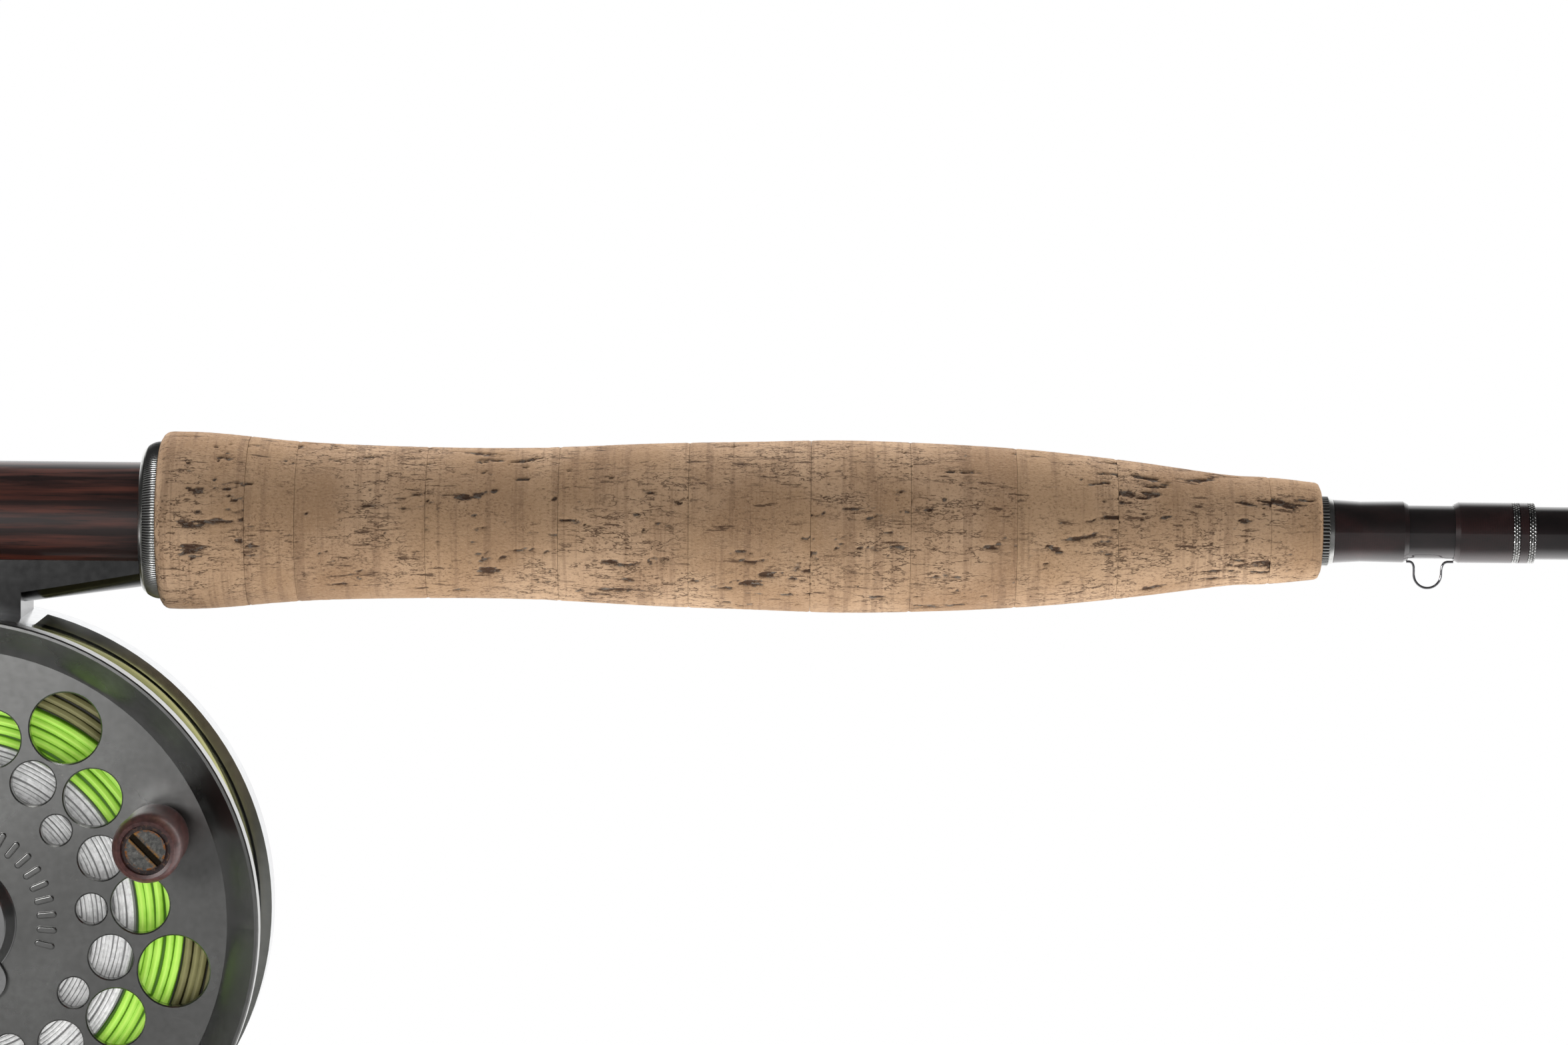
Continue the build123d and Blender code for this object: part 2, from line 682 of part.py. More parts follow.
# --- spool ---------------------------------------------------------------------------------
bushing_radius = 5.0
hub_radius = 8.0
plate_rear_y = face_y + plate
with BuildPart() as spool:
    with BuildSketch(reel_section):
        with BuildLine():
            Polyline(
                (bushing_radius, face_y), (bevel_radius, face_y), (rim_radius - 0.6, rim_front_y),
                (rim_radius - 0.2, rim_front_y), (rim_radius, rim_front_y + 0.2),
                (rim_radius, rim_rear_y - 0.2), (rim_radius - 0.2, rim_rear_y), (rim_radius - 1.8, rim_rear_y),
                (bevel_radius + 0.6, plate_rear_y), (arbor_radius, plate_rear_y),
                (arbor_radius, rear_flange_y), (olive_radius + 1.0, rear_flange_y),
                (olive_radius + 1.0, gear_front_y), (arbor_radius - 1.6, gear_front_y),
                (arbor_radius - 1.6, plate_rear_y + 1.0), (hub_radius, plate_rear_y + 1.0),
                (hub_radius, spool_hub_end), (bushing_radius, spool_hub_end), close=True,
            )
        make_face()
    revolve(axis=spindle_axis)
    with BuildSketch(facing(plate_rear_y)):
        for ring, hole, count, turned in (
            (big_ring, big_hole, 5, hole_angle), (medium_ring, medium_hole, 10, hole_angle - 18),
            (small_ring, small_hole, 10, hole_angle), (tiny_ring, tiny_hole, 10, hole_angle - 18),
        ):
            with PolarLocations(ring, count, start_angle=turned):
                Circle(hole)
    extrude(amount=plate, mode=Mode.SUBTRACT)
    with BuildSketch(facing(gear_front_y)):
        with PolarLocations(vent_ring, vent_count):
            Circle(vent_hole)
    extrude(amount=flange_plate, mode=Mode.SUBTRACT)
    with BuildSketch(facing(plate_rear_y)):
        with PolarLocations(big_ring, 1, start_angle=handle_angle):
            Circle(post_radius)
    extrude(amount=plate, mode=Mode.SUBTRACT)
    hole_edges = spool.edges().filter_by(
        lambda edge: abs(edge.center().Y - face_y) < 0.01 and edge.geom_type == GeomType.CIRCLE
        and any(abs(edge.radius - hole) < 0.01 for hole in (big_hole, medium_hole, small_hole, tiny_hole))
    )
    chamfer(hole_edges, hole_edge)
    # an arc of raised rounded marks round the cap
    with BuildSketch(facing(face_y)):
        with PolarLocations(mark_ring, 9, start_angle=-13, angular_range=73, endpoint=True):
            SlotOverall(2.9, 0.95)
    extrude(amount=mark_height)
    mark_edges = spool.edges().filter_by(lambda edge: abs(edge.center().Y - face_y + mark_height) < 0.01)
    fillet(mark_edges, 0.2)
save(spool, "spool")

with BuildPart() as counterweight:
    with BuildSketch(facing(plate_rear_y)):
        with PolarLocations(big_ring, 1, start_angle=weight_angle):
            Circle(big_hole - 0.02)
    extrude(amount=plate + 0.4)
save(counterweight, "counterweight")

with BuildPart() as spool_bushings:
    for front in (face_y + 0.4, spool_hub_end - 3.7):
        with BuildSketch(facing(front + 3.5)):
            Circle(bushing_radius)
            Circle(spindle_radius + fit_gap, mode=Mode.SUBTRACT)
        extrude(amount=3.5)
save(spool_bushings, "spool_bushings")

# --- centre cap and the sliding latch under it ---------------------------------------------
cap_outer = 9.3
cap_top = 8.1
cap_inner = 7.9
latch_angle = -59.0
latch_width = 6.0
latch_reach = 12.6
latch_plane = facing(latch_rear_y, latch_angle)
with BuildPart() as centre_cap:
    with BuildSketch(reel_section):
        with BuildLine():
            Polyline(
                (0, cap_front_y), (cap_top - 0.2, cap_front_y), (cap_top, cap_front_y + 0.2),
                (cap_outer - 0.15, face_y - 0.3), (cap_outer, face_y - 0.2), (cap_outer, face_y),
                (cap_inner, face_y), (cap_inner, cap_front_y + 0.8), (0, cap_front_y + 0.8), close=True,
            )
        make_face()
    revolve(axis=spindle_axis)
    with BuildSketch(facing(face_y, latch_angle)):
        with Locations((cap_outer, 0)):
            Rectangle(8.0, latch_width + 0.3)
    extrude(amount=face_y - latch_front_y + 0.1, mode=Mode.SUBTRACT)
save(centre_cap, "centre_cap")

with BuildPart() as release_latch:
    with BuildSketch(latch_plane):
        with Locations(((latch_reach - 5.2) / 2, 0)):
            SlotOverall(latch_reach + 5.2, latch_width)
        Circle(4.8)
        with Locations((spindle_radius - groove_radius + fit_gap, 0)):
            Circle(spindle_radius + 2 * fit_gap, mode=Mode.SUBTRACT)
    extrude(amount=latch_rear_y - latch_front_y)
save(release_latch, "release_latch")

with BuildPart() as latch_spring:
    with BuildSketch(facing(latch_rear_y + 0.3, latch_angle + 180)):
        with Locations((7.0, 0)):
            Rectangle(0.5, 5.0)
    extrude(amount=1.0)
save(latch_spring, "latch_spring")

# --- crank handle --------------------------------------------------------------------------
handle_x = spindle_x + big_ring * cos(radians(handle_angle))
handle_z = spindle_z + big_ring * sin(radians(handle_angle))
handle_axis = Axis((handle_x, 0, handle_z), (0, 1, 0))
handle_section = Plane(origin=(handle_x, 0, handle_z))
knob_rear_y = knob_front_y + knob_length
recess_y = knob_front_y + 1.0
with BuildPart() as handle_post:
    with BuildSketch(handle_section):
        with BuildLine():
            Polyline(
                (0, plate_rear_y), (post_radius, plate_rear_y), (post_radius, face_y), (3.4, face_y),
                (3.4, knob_rear_y + 0.1), (post_radius, knob_rear_y + 0.1), (post_radius, recess_y - 0.05),
                (0, recess_y - 0.05), close=True,
            )
        make_face()
    revolve(axis=handle_axis)
save(handle_post, "handle_post")

with BuildPart() as handle_screw:
    with BuildSketch(Plane(origin=(handle_x, recess_y - 0.05, handle_z), x_dir=(1, 0, 0), z_dir=(0, -1, 0))):
        Circle(2.9)
    extrude(amount=0.75)
    slot_along = (cos(radians(45)), 0, -sin(radians(45)))
    with BuildSketch(Plane(origin=(handle_x, recess_y - 0.4, handle_z), x_dir=slot_along, z_dir=(0, -1, 0))):
        Rectangle(8.0, 0.8)
    extrude(amount=2.0, mode=Mode.SUBTRACT)
save(handle_screw, "handle_screw")

with BuildPart() as handle_knob:
    with BuildSketch(handle_section):
        with BuildLine():
            Polyline((post_radius + fit_gap, knob_rear_y), (3.5, knob_rear_y))
            Spline(
                (3.5, knob_rear_y), (4.35, knob_rear_y - 1.6), (4.7, knob_rear_y - 8.0),
                (knob_radius, knob_front_y + 4.5), (4.75, knob_front_y + 1.2), (4.1, knob_front_y),
            )
            Polyline(
                (4.1, knob_front_y), (3.6, knob_front_y + 0.1), (3.5, recess_y),
                (post_radius + fit_gap, recess_y), (post_radius + fit_gap, knob_rear_y),
            )
        make_face()
    revolve(axis=handle_axis)
save(handle_knob, "handle_knob")

# --- what is wound on the spool ------------------------------------------------------------
pack_front = plate_rear_y + 0.1
pack_rear = rear_flange_y - 0.1
save(disc(arbor_radius + 0.05, backing_radius, pack_front, pack_rear), "backing_winding")
save(disc(backing_radius, green_radius, pack_front, pack_rear), "green_line_winding")
save(disc(green_radius, olive_radius, pack_front, pack_rear), "olive_line_winding")
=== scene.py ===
import math
import random

import bpy
from mathutils import Matrix, Vector, noise


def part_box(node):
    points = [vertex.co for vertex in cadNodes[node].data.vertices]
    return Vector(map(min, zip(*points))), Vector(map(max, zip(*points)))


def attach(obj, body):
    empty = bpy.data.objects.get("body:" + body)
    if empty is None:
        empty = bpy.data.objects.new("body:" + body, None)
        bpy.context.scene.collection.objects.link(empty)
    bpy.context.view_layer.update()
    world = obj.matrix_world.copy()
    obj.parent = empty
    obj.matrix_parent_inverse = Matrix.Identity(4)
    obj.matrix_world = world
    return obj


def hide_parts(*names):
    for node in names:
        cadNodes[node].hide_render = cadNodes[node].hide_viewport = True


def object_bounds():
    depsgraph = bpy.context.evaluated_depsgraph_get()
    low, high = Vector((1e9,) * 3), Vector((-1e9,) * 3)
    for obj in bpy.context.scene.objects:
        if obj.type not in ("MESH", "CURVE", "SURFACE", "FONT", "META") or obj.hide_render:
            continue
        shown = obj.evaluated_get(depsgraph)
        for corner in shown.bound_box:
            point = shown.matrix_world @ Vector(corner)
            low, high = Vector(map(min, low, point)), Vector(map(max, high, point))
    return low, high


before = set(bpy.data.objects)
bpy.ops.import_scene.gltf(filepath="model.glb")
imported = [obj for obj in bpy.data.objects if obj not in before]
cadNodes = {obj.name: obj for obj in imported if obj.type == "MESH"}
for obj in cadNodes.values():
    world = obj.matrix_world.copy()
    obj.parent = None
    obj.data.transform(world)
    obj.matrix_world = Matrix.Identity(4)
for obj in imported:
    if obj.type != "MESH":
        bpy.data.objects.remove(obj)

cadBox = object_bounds()
random.seed(7)
mm = 0.001

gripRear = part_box("cork_ring_01")[0].x
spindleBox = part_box("spindle")
spindle = Vector(((spindleBox[0].x + spindleBox[1].x) / 2, 0, (spindleBox[0].z + spindleBox[1].z) / 2))

softBox = {"at": (-150 * mm, -560 * mm, 115 * mm), "size": 130 * mm, "power": 0.72}


def makeSoftBox():
    # a lamp up on the left that only shiny surfaces see, for the sheen on the reel's face
    data = bpy.data.lights.new("softBox", "AREA")
    data.size = softBox["size"]
    data.energy = softBox["power"]
    lamp = bpy.data.objects.new("softBox", data)
    bpy.context.scene.collection.objects.link(lamp)
    lamp.location = spindle + Vector(softBox["at"])
    lamp.rotation_euler = (spindle - lamp.location).to_track_quat("-Z", "Y").to_euler()
    lamp.visible_camera = False
    lamp.visible_diffuse = False


makeSoftBox()

camera = {"aheadOfGripRear": 90.9 * mm, "aboveRod": 0.51 * mm, "distance": 901.9 * mm,
          "elevation": 4.48, "lean": 0.0097, "lens": 141.5}


def makeCamera():
    up = math.radians(camera["elevation"])
    forward = Vector((0, math.cos(up), -math.sin(up)))
    levelUp = Vector((0, math.sin(up), math.cos(up)))
    right = Vector((math.cos(camera["lean"]), 0, 0)) + levelUp * math.sin(camera["lean"])
    above = levelUp * math.cos(camera["lean"]) - Vector((math.sin(camera["lean"]), 0, 0))
    target = Vector((gripRear + camera["aheadOfGripRear"], 0, 0)) + above * camera["aboveRod"]
    data = bpy.data.cameras.new("mainCamera")
    data.lens = camera["lens"]
    data.sensor_width = 36
    data.clip_start = 0.05
    data.clip_end = 100
    shown = bpy.data.objects.new("mainCamera", data)
    bpy.context.scene.collection.objects.link(shown)
    turn = Matrix((right, above, -forward)).transposed().to_4x4()
    shown.matrix_world = Matrix.Translation(target - forward * camera["distance"]) @ turn
    bpy.context.scene.camera = shown


def addGroup(name, inputs, outputs):
    tree = bpy.data.node_groups.new(name, "ShaderNodeTree")
    for label, kind, value in inputs:
        socket = tree.interface.new_socket(label, in_out="INPUT", socket_type=kind)
        socket.default_value = value
    for label, kind in outputs:
        tree.interface.new_socket(label, in_out="OUTPUT", socket_type=kind)
    return tree, tree.nodes.new("NodeGroupInput"), tree.nodes.new("NodeGroupOutput")


def addNode(tree, kind, feeds=None, **settings):
    # a node with its settings, each named socket set to a value or linked to another node's socket
    node = tree.nodes.new(kind)
    for key, value in settings.items():
        setattr(node, key, value)
    for socket, value in (feeds or {}).items():
        if isinstance(value, bpy.types.NodeSocket):
            tree.links.new(value, node.inputs[socket])
        else:
            node.inputs[socket].default_value = value
    return node


def mixColour(tree, share, first, second):
    node = tree.nodes.new("ShaderNodeMix")
    node.data_type = "RGBA"
    for socket, value in ((0, share), (6, first), (7, second)):
        if isinstance(value, bpy.types.NodeSocket):
            tree.links.new(value, node.inputs[socket])
        elif socket == 0:
            node.inputs[0].default_value = value
        else:
            node.inputs[socket].default_value = (*value, 1)
    return node.outputs[2]


def ramp(tree, value, low, high, toLow=0.0, toHigh=1.0):
    return addNode(tree, "ShaderNodeMapRange", {
        "Value": value, "From Min": low, "From Max": high, "To Min": toLow, "To Max": toHigh,
    }).outputs[0]


def multiply(tree, first, second):
    return addNode(tree, "ShaderNodeMath", {0: first, 1: second}, operation="MULTIPLY").outputs[0]


# "mirror" is how bright shiny surfaces see the room, "soft" how bright matt ones do, each from front to back
studio = {"floorSize": 60.0, "floorGap": 0.2 * mm, "floorGlow": 1.9, "floorShade": 0.02,
          "paleFrom": -0.26, "paleTo": -0.17, "shineShift": -0.2, "shineLoss": -0.5,
          "mirrorFront": 0.03, "mirrorBack": 1.25, "mirrorFrom": 0.45, "mirrorTo": 0.92,
          "softFront": 0.44, "softBack": 3.8, "softFrom": -0.35, "softTo": 0.55}
white = (1, 1, 1, 1)


def smoothFade(tree, value, fromLow, fromHigh, toLow, toHigh):
    return addNode(tree, "ShaderNodeMapRange", {
        "Value": value, "From Min": fromLow, "From Max": fromHigh, "To Min": toLow, "To Max": toHigh,
    }, interpolation_type="SMOOTHSTEP").outputs[0]


def paintFloor(paint):
    paint.use_nodes = True
    tree = paint.node_tree
    shader = tree.nodes["Principled BSDF"]
    shader.inputs["Base Color"].default_value = (0.1, 0.1, 0.1, 1)
    shader.inputs["Roughness"].default_value = 0.9
    shader.inputs["Specular IOR Level"].default_value = 0.0
    shader.inputs["Emission Color"].default_value = white
    # the floor glows from just in front of the object backwards; what shines sees the glow later and dimmer
    ray = addNode(tree, "ShaderNodeLightPath").outputs
    spot = addNode(tree, "ShaderNodeTexCoord").outputs["Object"]
    depth = addNode(tree, "ShaderNodeSeparateXYZ", {0: spot}).outputs["Y"]
    shifted = addNode(tree, "ShaderNodeMath", {0: ray["Is Glossy Ray"], 1: studio["shineShift"], 2: depth},
                      operation="MULTIPLY_ADD").outputs[0]
    glow = smoothFade(tree, shifted, studio["paleFrom"], studio["paleTo"], studio["floorShade"],
                      studio["floorGlow"])
    kept = addNode(tree, "ShaderNodeMath", {0: ray["Is Glossy Ray"], 1: studio["shineLoss"], 2: 1.0},
                   operation="MULTIPLY_ADD").outputs[0]
    tree.links.new(multiply(tree, glow, kept), shader.inputs["Emission Strength"])
    overexposed = addNode(tree, "ShaderNodeEmission", {"Color": white}).outputs[0]
    chosen = addNode(tree, "ShaderNodeMixShader", {
        0: ray["Is Camera Ray"], 1: shader.outputs[0], 2: overexposed}).outputs[0]
    tree.links.new(chosen, tree.nodes["Material Output"].inputs["Surface"])


def lightRoom(world):
    # a white cyclorama behind and a dark room in front
    world.use_nodes = True
    tree = world.node_tree
    tree.nodes.clear()
    ray = addNode(tree, "ShaderNodeLightPath").outputs
    way = addNode(tree, "ShaderNodeTexCoord").outputs["Generated"]
    backwards = addNode(tree, "ShaderNodeSeparateXYZ", {0: way}).outputs["Y"]
    mirror, soft = (
        smoothFade(tree, backwards, studio[kind + "From"], studio[kind + "To"], studio[kind + "Front"],
                   studio[kind + "Back"])
        for kind in ("mirror", "soft"))
    strength = addNode(tree, "ShaderNodeMix", {0: ray["Is Diffuse Ray"], 2: mirror, 3: soft}).outputs[0]
    lit = addNode(tree, "ShaderNodeBackground", {"Color": white, "Strength": strength}).outputs[0]
    seen = addNode(tree, "ShaderNodeBackground", {"Color": white}).outputs[0]
    chosen = addNode(tree, "ShaderNodeMixShader", {0: ray["Is Camera Ray"], 1: lit, 2: seen}).outputs[0]
    addNode(tree, "ShaderNodeOutputWorld", {"Surface": chosen})


def makeStudio():
    low = cadBox[0].z
    bpy.ops.object.select_all(action="DESELECT")
    bpy.ops.mesh.primitive_plane_add(size=studio["floorSize"], location=(0, 0, low - studio["floorGap"]))
    floor = bpy.context.object
    floor.name = "floor"
    bpy.ops.object.transform_apply(location=True)
    paint = bpy.data.materials.new("paleFloor")
    paintFloor(paint)
    floor.data.materials.append(paint)
    world = bpy.data.worlds.new("studio")
    bpy.context.scene.world = world
    lightRoom(world)
    bpy.context.scene.view_settings.view_transform = "Standard"


makeCamera()
makeStudio()
print("camera, floor and light ready")


def makeStretchedNoise():
    # noise drawn out along one way of the piece, from 0 to 1
    tree, given, result = addGroup(
        "stretchedNoise",
        [("Scale", "NodeSocketFloat", 100.0), ("Stretch", "NodeSocketVector", (1, 1, 1)),
         ("Detail", "NodeSocketFloat", 4.0), ("Rough", "NodeSocketFloat", 0.55)],
        [("Value", "NodeSocketFloat")])
    place = addNode(tree, "ShaderNodeTexCoord")
    drawn = addNode(tree, "ShaderNodeVectorMath", {0: place.outputs["Object"], 1: given.outputs["Stretch"]},
                    operation="MULTIPLY")
    grain = addNode(tree, "ShaderNodeTexNoise", {
        "Vector": drawn.outputs[0], "Scale": given.outputs["Scale"], "Detail": given.outputs["Detail"],
        "Roughness": given.outputs["Rough"]})
    tree.links.new(grain.outputs["Fac"], result.inputs["Value"])
    return tree


def makeWear():
    # fine dust specks and hairline scratches, each a mask from 0 to 1
    tree, given, result = addGroup(
        "dustAndScratches",
        [("Speck Scale", "NodeSocketFloat", 900.0), ("Scratch Scale", "NodeSocketFloat", 160.0)],
        [("Specks", "NodeSocketFloat"), ("Scratches", "NodeSocketFloat"), ("Smudge", "NodeSocketFloat")])
    place = addNode(tree, "ShaderNodeTexCoord").outputs["Object"]
    cells = addNode(tree, "ShaderNodeTexVoronoi", {"Vector": place, "Scale": given.outputs["Speck Scale"]})
    rare = addNode(tree, "ShaderNodeTexNoise", {"Vector": place, "Scale": 260.0, "Detail": 2.0})
    dots = ramp(tree, cells.outputs["Distance"], 0.10, 0.16, 1.0, 0.0)
    some = ramp(tree, rare.outputs["Fac"], 0.62, 0.66)
    specks = addNode(tree, "ShaderNodeMath", {0: dots, 1: some}, operation="MULTIPLY")
    tree.links.new(specks.outputs[0], result.inputs["Specks"])
    bent = addNode(tree, "ShaderNodeTexNoise", {"Vector": place, "Scale": 35.0, "Detail": 2.0})
    shifted = addNode(tree, "ShaderNodeVectorMath", {0: bent.outputs["Color"], 1: (0.02, 0.02, 0.02)},
                      operation="MULTIPLY")
    moved = addNode(tree, "ShaderNodeVectorMath", {0: place, 1: shifted.outputs[0]}, operation="ADD")
    drawn = addNode(tree, "ShaderNodeVectorMath", {0: moved.outputs[0], 1: (1.0, 1.0, 9.0)},
                    operation="MULTIPLY")
    lines = addNode(tree, "ShaderNodeTexVoronoi", {
        "Vector": drawn.outputs[0], "Scale": given.outputs["Scratch Scale"]}, feature="DISTANCE_TO_EDGE")
    hair = ramp(tree, lines.outputs["Distance"], 0.004, 0.012, 1.0, 0.0)
    where = ramp(tree, rare.outputs["Fac"], 0.55, 0.7)
    scratches = addNode(tree, "ShaderNodeMath", {0: hair, 1: where}, operation="MULTIPLY")
    tree.links.new(scratches.outputs[0], result.inputs["Scratches"])
    smudge = addNode(tree, "ShaderNodeTexNoise", {"Vector": place, "Scale": 45.0, "Detail": 5.0})
    tree.links.new(smudge.outputs["Fac"], result.inputs["Smudge"])
    return tree


stretchedNoise = makeStretchedNoise()
wear = makeWear()


def place(tree, group, **values):
    node = tree.nodes.new("ShaderNodeGroup")
    node.node_tree = group
    for key, value in values.items():
        node.inputs[key].default_value = value
    return node


def newMaterial(name, **constants):
    material = bpy.data.materials.new(name)
    material.use_nodes = True
    tree = material.node_tree
    shader = tree.nodes["Principled BSDF"]
    for key, value in constants.items():
        socket = shader.inputs[key.replace("_", " ")]
        socket.default_value = (*value, 1) if isinstance(value, tuple) else value
    return material, tree, shader


def bumpFrom(tree, shader, height, strength, distance):
    bump = addNode(tree, "ShaderNodeBump", {"Height": height, "Strength": strength, "Distance": distance})
    tree.links.new(bump.outputs[0], shader.inputs["Normal"])
    return bump


cork = {"light": (0.41, 0.262, 0.150), "warm": (0.30, 0.180, 0.100), "pale": (0.53, 0.358, 0.225),
        "crack": (0.060, 0.030, 0.018), "slate": (0.17, 0.145, 0.12), "speck": (0.15, 0.088, 0.055),
        "line": (0.20, 0.118, 0.07)}


def makeCork():
    material, tree, shader = newMaterial("cork", Specular_IOR_Level=0.2)
    broad = place(tree, stretchedNoise, Scale=60.0, Stretch=(1.0, 1.0, 1.0), Detail=3.0).outputs[0]
    patches = place(tree, stretchedNoise, Scale=1.0, Stretch=(90.0, 230.0, 230.0), Detail=2.0).outputs[0]
    growth = place(tree, stretchedNoise, Scale=1.0, Stretch=(900.0, 38.0, 38.0), Detail=4.0,
                   Rough=0.6).outputs[0]
    fine = place(tree, stretchedNoise, Scale=1.0, Stretch=(2000.0, 3200.0, 3200.0), Detail=4.0,
                 Rough=0.7).outputs[0]
    tone = addNode(tree, "ShaderNodeAttribute", attribute_name="tone").outputs["Fac"]
    pit = addNode(tree, "ShaderNodeAttribute", attribute_name="pit").outputs["Fac"]
    base = mixColour(tree, tone, cork["light"], cork["warm"])
    base = mixColour(tree, ramp(tree, broad, 0.42, 0.72), base, cork["pale"])
    base = mixColour(tree, multiply(tree, ramp(tree, growth, 0.52, 0.62), 0.40), base, cork["line"])
    grains = multiply(tree, ramp(tree, fine, 0.53, 0.66), ramp(tree, patches, 0.35, 0.62, 0.35, 0.95))
    base = mixColour(tree, grains, base, cork["speck"])
    base = mixColour(tree, multiply(tree, ramp(tree, fine, 0.46, 0.34), 0.35), base, cork["pale"])
    # hair cracks too thin for the mesh
    thin = place(tree, stretchedNoise, Scale=1.0, Stretch=(210.0, 1500.0, 1500.0), Detail=6.0,
                 Rough=0.66).outputs[0]
    hair = multiply(tree, ramp(tree, thin, 0.575, 0.62), ramp(tree, patches, 0.42, 0.54))
    base = mixColour(tree, multiply(tree, hair, 0.8), base, cork["crack"])
    web = place(tree, stretchedNoise, Scale=1.0, Stretch=(120.0, 430.0, 430.0), Detail=4.0,
                Rough=0.7).outputs[0]
    fromMiddle = addNode(tree, "ShaderNodeMath", {0: web, 1: -0.5}, operation="ADD").outputs[0]
    away = addNode(tree, "ShaderNodeMath", {0: fromMiddle}, operation="ABSOLUTE").outputs[0]
    near = ramp(tree, away, 0.016, 0.004)
    webbed = multiply(tree, near, ramp(tree, broad, 0.45, 0.56))
    base = mixColour(tree, multiply(tree, webbed, 0.75), base, cork["crack"])
    ragged = place(tree, stretchedNoise, Scale=1.0, Stretch=(900.0, 2200.0, 2200.0), Detail=4.0,
                   Rough=0.7).outputs[0]
    inPit = mixColour(tree, ramp(tree, ragged, 0.50, 0.62), cork["crack"], cork["slate"])
    edge = addNode(tree, "ShaderNodeMath", {0: pit, 1: ramp(tree, ragged, 0.3, 0.7, -0.28, 0.28)},
                   operation="ADD").outputs[0]
    base = mixColour(tree, ramp(tree, edge, 0.20, 0.62, 0.0, 0.92), base, inPit)
    tree.links.new(base, shader.inputs["Base Color"])
    tree.links.new(ramp(tree, fine, 0.3, 0.7, 0.72, 0.95), shader.inputs["Roughness"])
    relief = addNode(tree, "ShaderNodeMath", {0: fine, 1: webbed}, operation="SUBTRACT").outputs[0]
    bumpFrom(tree, shader, relief, 0.6, 0.0003)
    return material


def makeWood():
    material, tree, shader = newMaterial("seatWood", Coat_Weight=0.6, Coat_Roughness=0.06, Coat_IOR=1.5,
                                         Roughness=0.45)
    streak = place(tree, stretchedNoise, Scale=1.0, Stretch=(45.0, 900.0, 900.0), Detail=5.0)
    pore = place(tree, stretchedNoise, Scale=1.0, Stretch=(160.0, 3200.0, 3200.0), Detail=3.0)
    base = mixColour(tree, ramp(tree, streak.outputs[0], 0.42, 0.66), (0.026, 0.007, 0.005),
                     (0.125, 0.026, 0.012))
    base = mixColour(tree, ramp(tree, pore.outputs[0], 0.60, 0.70), base, (0.008, 0.004, 0.004))
    tree.links.new(base, shader.inputs["Base Color"])
    bumpFrom(tree, shader, pore.outputs[0], 0.08, 0.0001)
    return material


def makeBlankFinish(name, inner, outer, threadPitch):
    # clear varnish over dark graphite or over whipping thread
    material, tree, shader = newMaterial(name, Coat_Weight=1.0, Coat_Roughness=0.03, Coat_IOR=1.75,
                                         Roughness=0.35, Specular_IOR_Level=0.6)
    cloudy = place(tree, stretchedNoise, Scale=1.0, Stretch=(160.0, 260.0, 260.0), Detail=4.0)
    base = mixColour(tree, ramp(tree, cloudy.outputs[0], 0.35, 0.75), inner, outer)
    if threadPitch:
        where = addNode(tree, "ShaderNodeTexCoord").outputs["Object"]
        turns = addNode(tree, "ShaderNodeTexWave", {"Vector": where, "Scale": 0.314 / threadPitch,
                                                    "Distortion": 0.6, "Detail": 1.0}, bands_direction="X")
        base = mixColour(tree, turns.outputs["Fac"], base, inner)
        bumpFrom(tree, shader, turns.outputs["Fac"], 0.25, 0.00004)
    tree.links.new(base, shader.inputs["Base Color"])
    speck = place(tree, wear, **{"Speck Scale": 700.0})
    tree.links.new(ramp(tree, speck.outputs["Smudge"], 0.3, 0.8, 0.28, 0.5), shader.inputs["Roughness"])
    return material


# the groove values set the painted shade in the grooves of a knurl
metal = {"brush": 900.0, "dust": 0.35, "dustColour": (0.62, 0.6, 0.56), "scratch": 0.3, "scratchGain": 1.6,
         "bump": 0.12, "bumpDepth": 0.03 * mm, "grooveShadeColour": (0.02, 0.02, 0.02), "grooveShade": 0.93}


def makeMetal(name, dark, light, rough, metallic=1.0):
    # dusty, lightly scratched metal, with painted shade in the grooves of a knurl
    material, tree, shader = newMaterial(name, Metallic=metallic)
    brush = place(tree, stretchedNoise, Scale=metal["brush"], Detail=3.0)
    marks = place(tree, wear)
    base = mixColour(tree, ramp(tree, brush.outputs[0], 0.3, 0.7), dark, light)
    base = mixColour(tree, multiply(tree, marks.outputs["Specks"], metal["dust"]), base, metal["dustColour"])
    bare = tuple(min(1.0, metal["scratchGain"] * c) for c in light)
    base = mixColour(tree, multiply(tree, marks.outputs["Scratches"], metal["scratch"]), base, bare)
    # painted shade: near-black in the knurl grooves, darker the deeper the groove
    groove = addNode(tree, "ShaderNodeAttribute", attribute_name="groove").outputs["Fac"]
    grooveShadeMask = ramp(tree, groove, 0.35, 0.9, 0.0, metal["grooveShade"])
    base = mixColour(tree, grooveShadeMask, base, metal["grooveShadeColour"])
    tree.links.new(base, shader.inputs["Base Color"])
    tree.links.new(ramp(tree, marks.outputs["Smudge"], 0.3, 0.75, rough * 0.85, rough * 1.25),
                   shader.inputs["Roughness"])
    bumpFrom(tree, shader, brush.outputs[0], metal["bump"], metal["bumpDepth"])
    return material


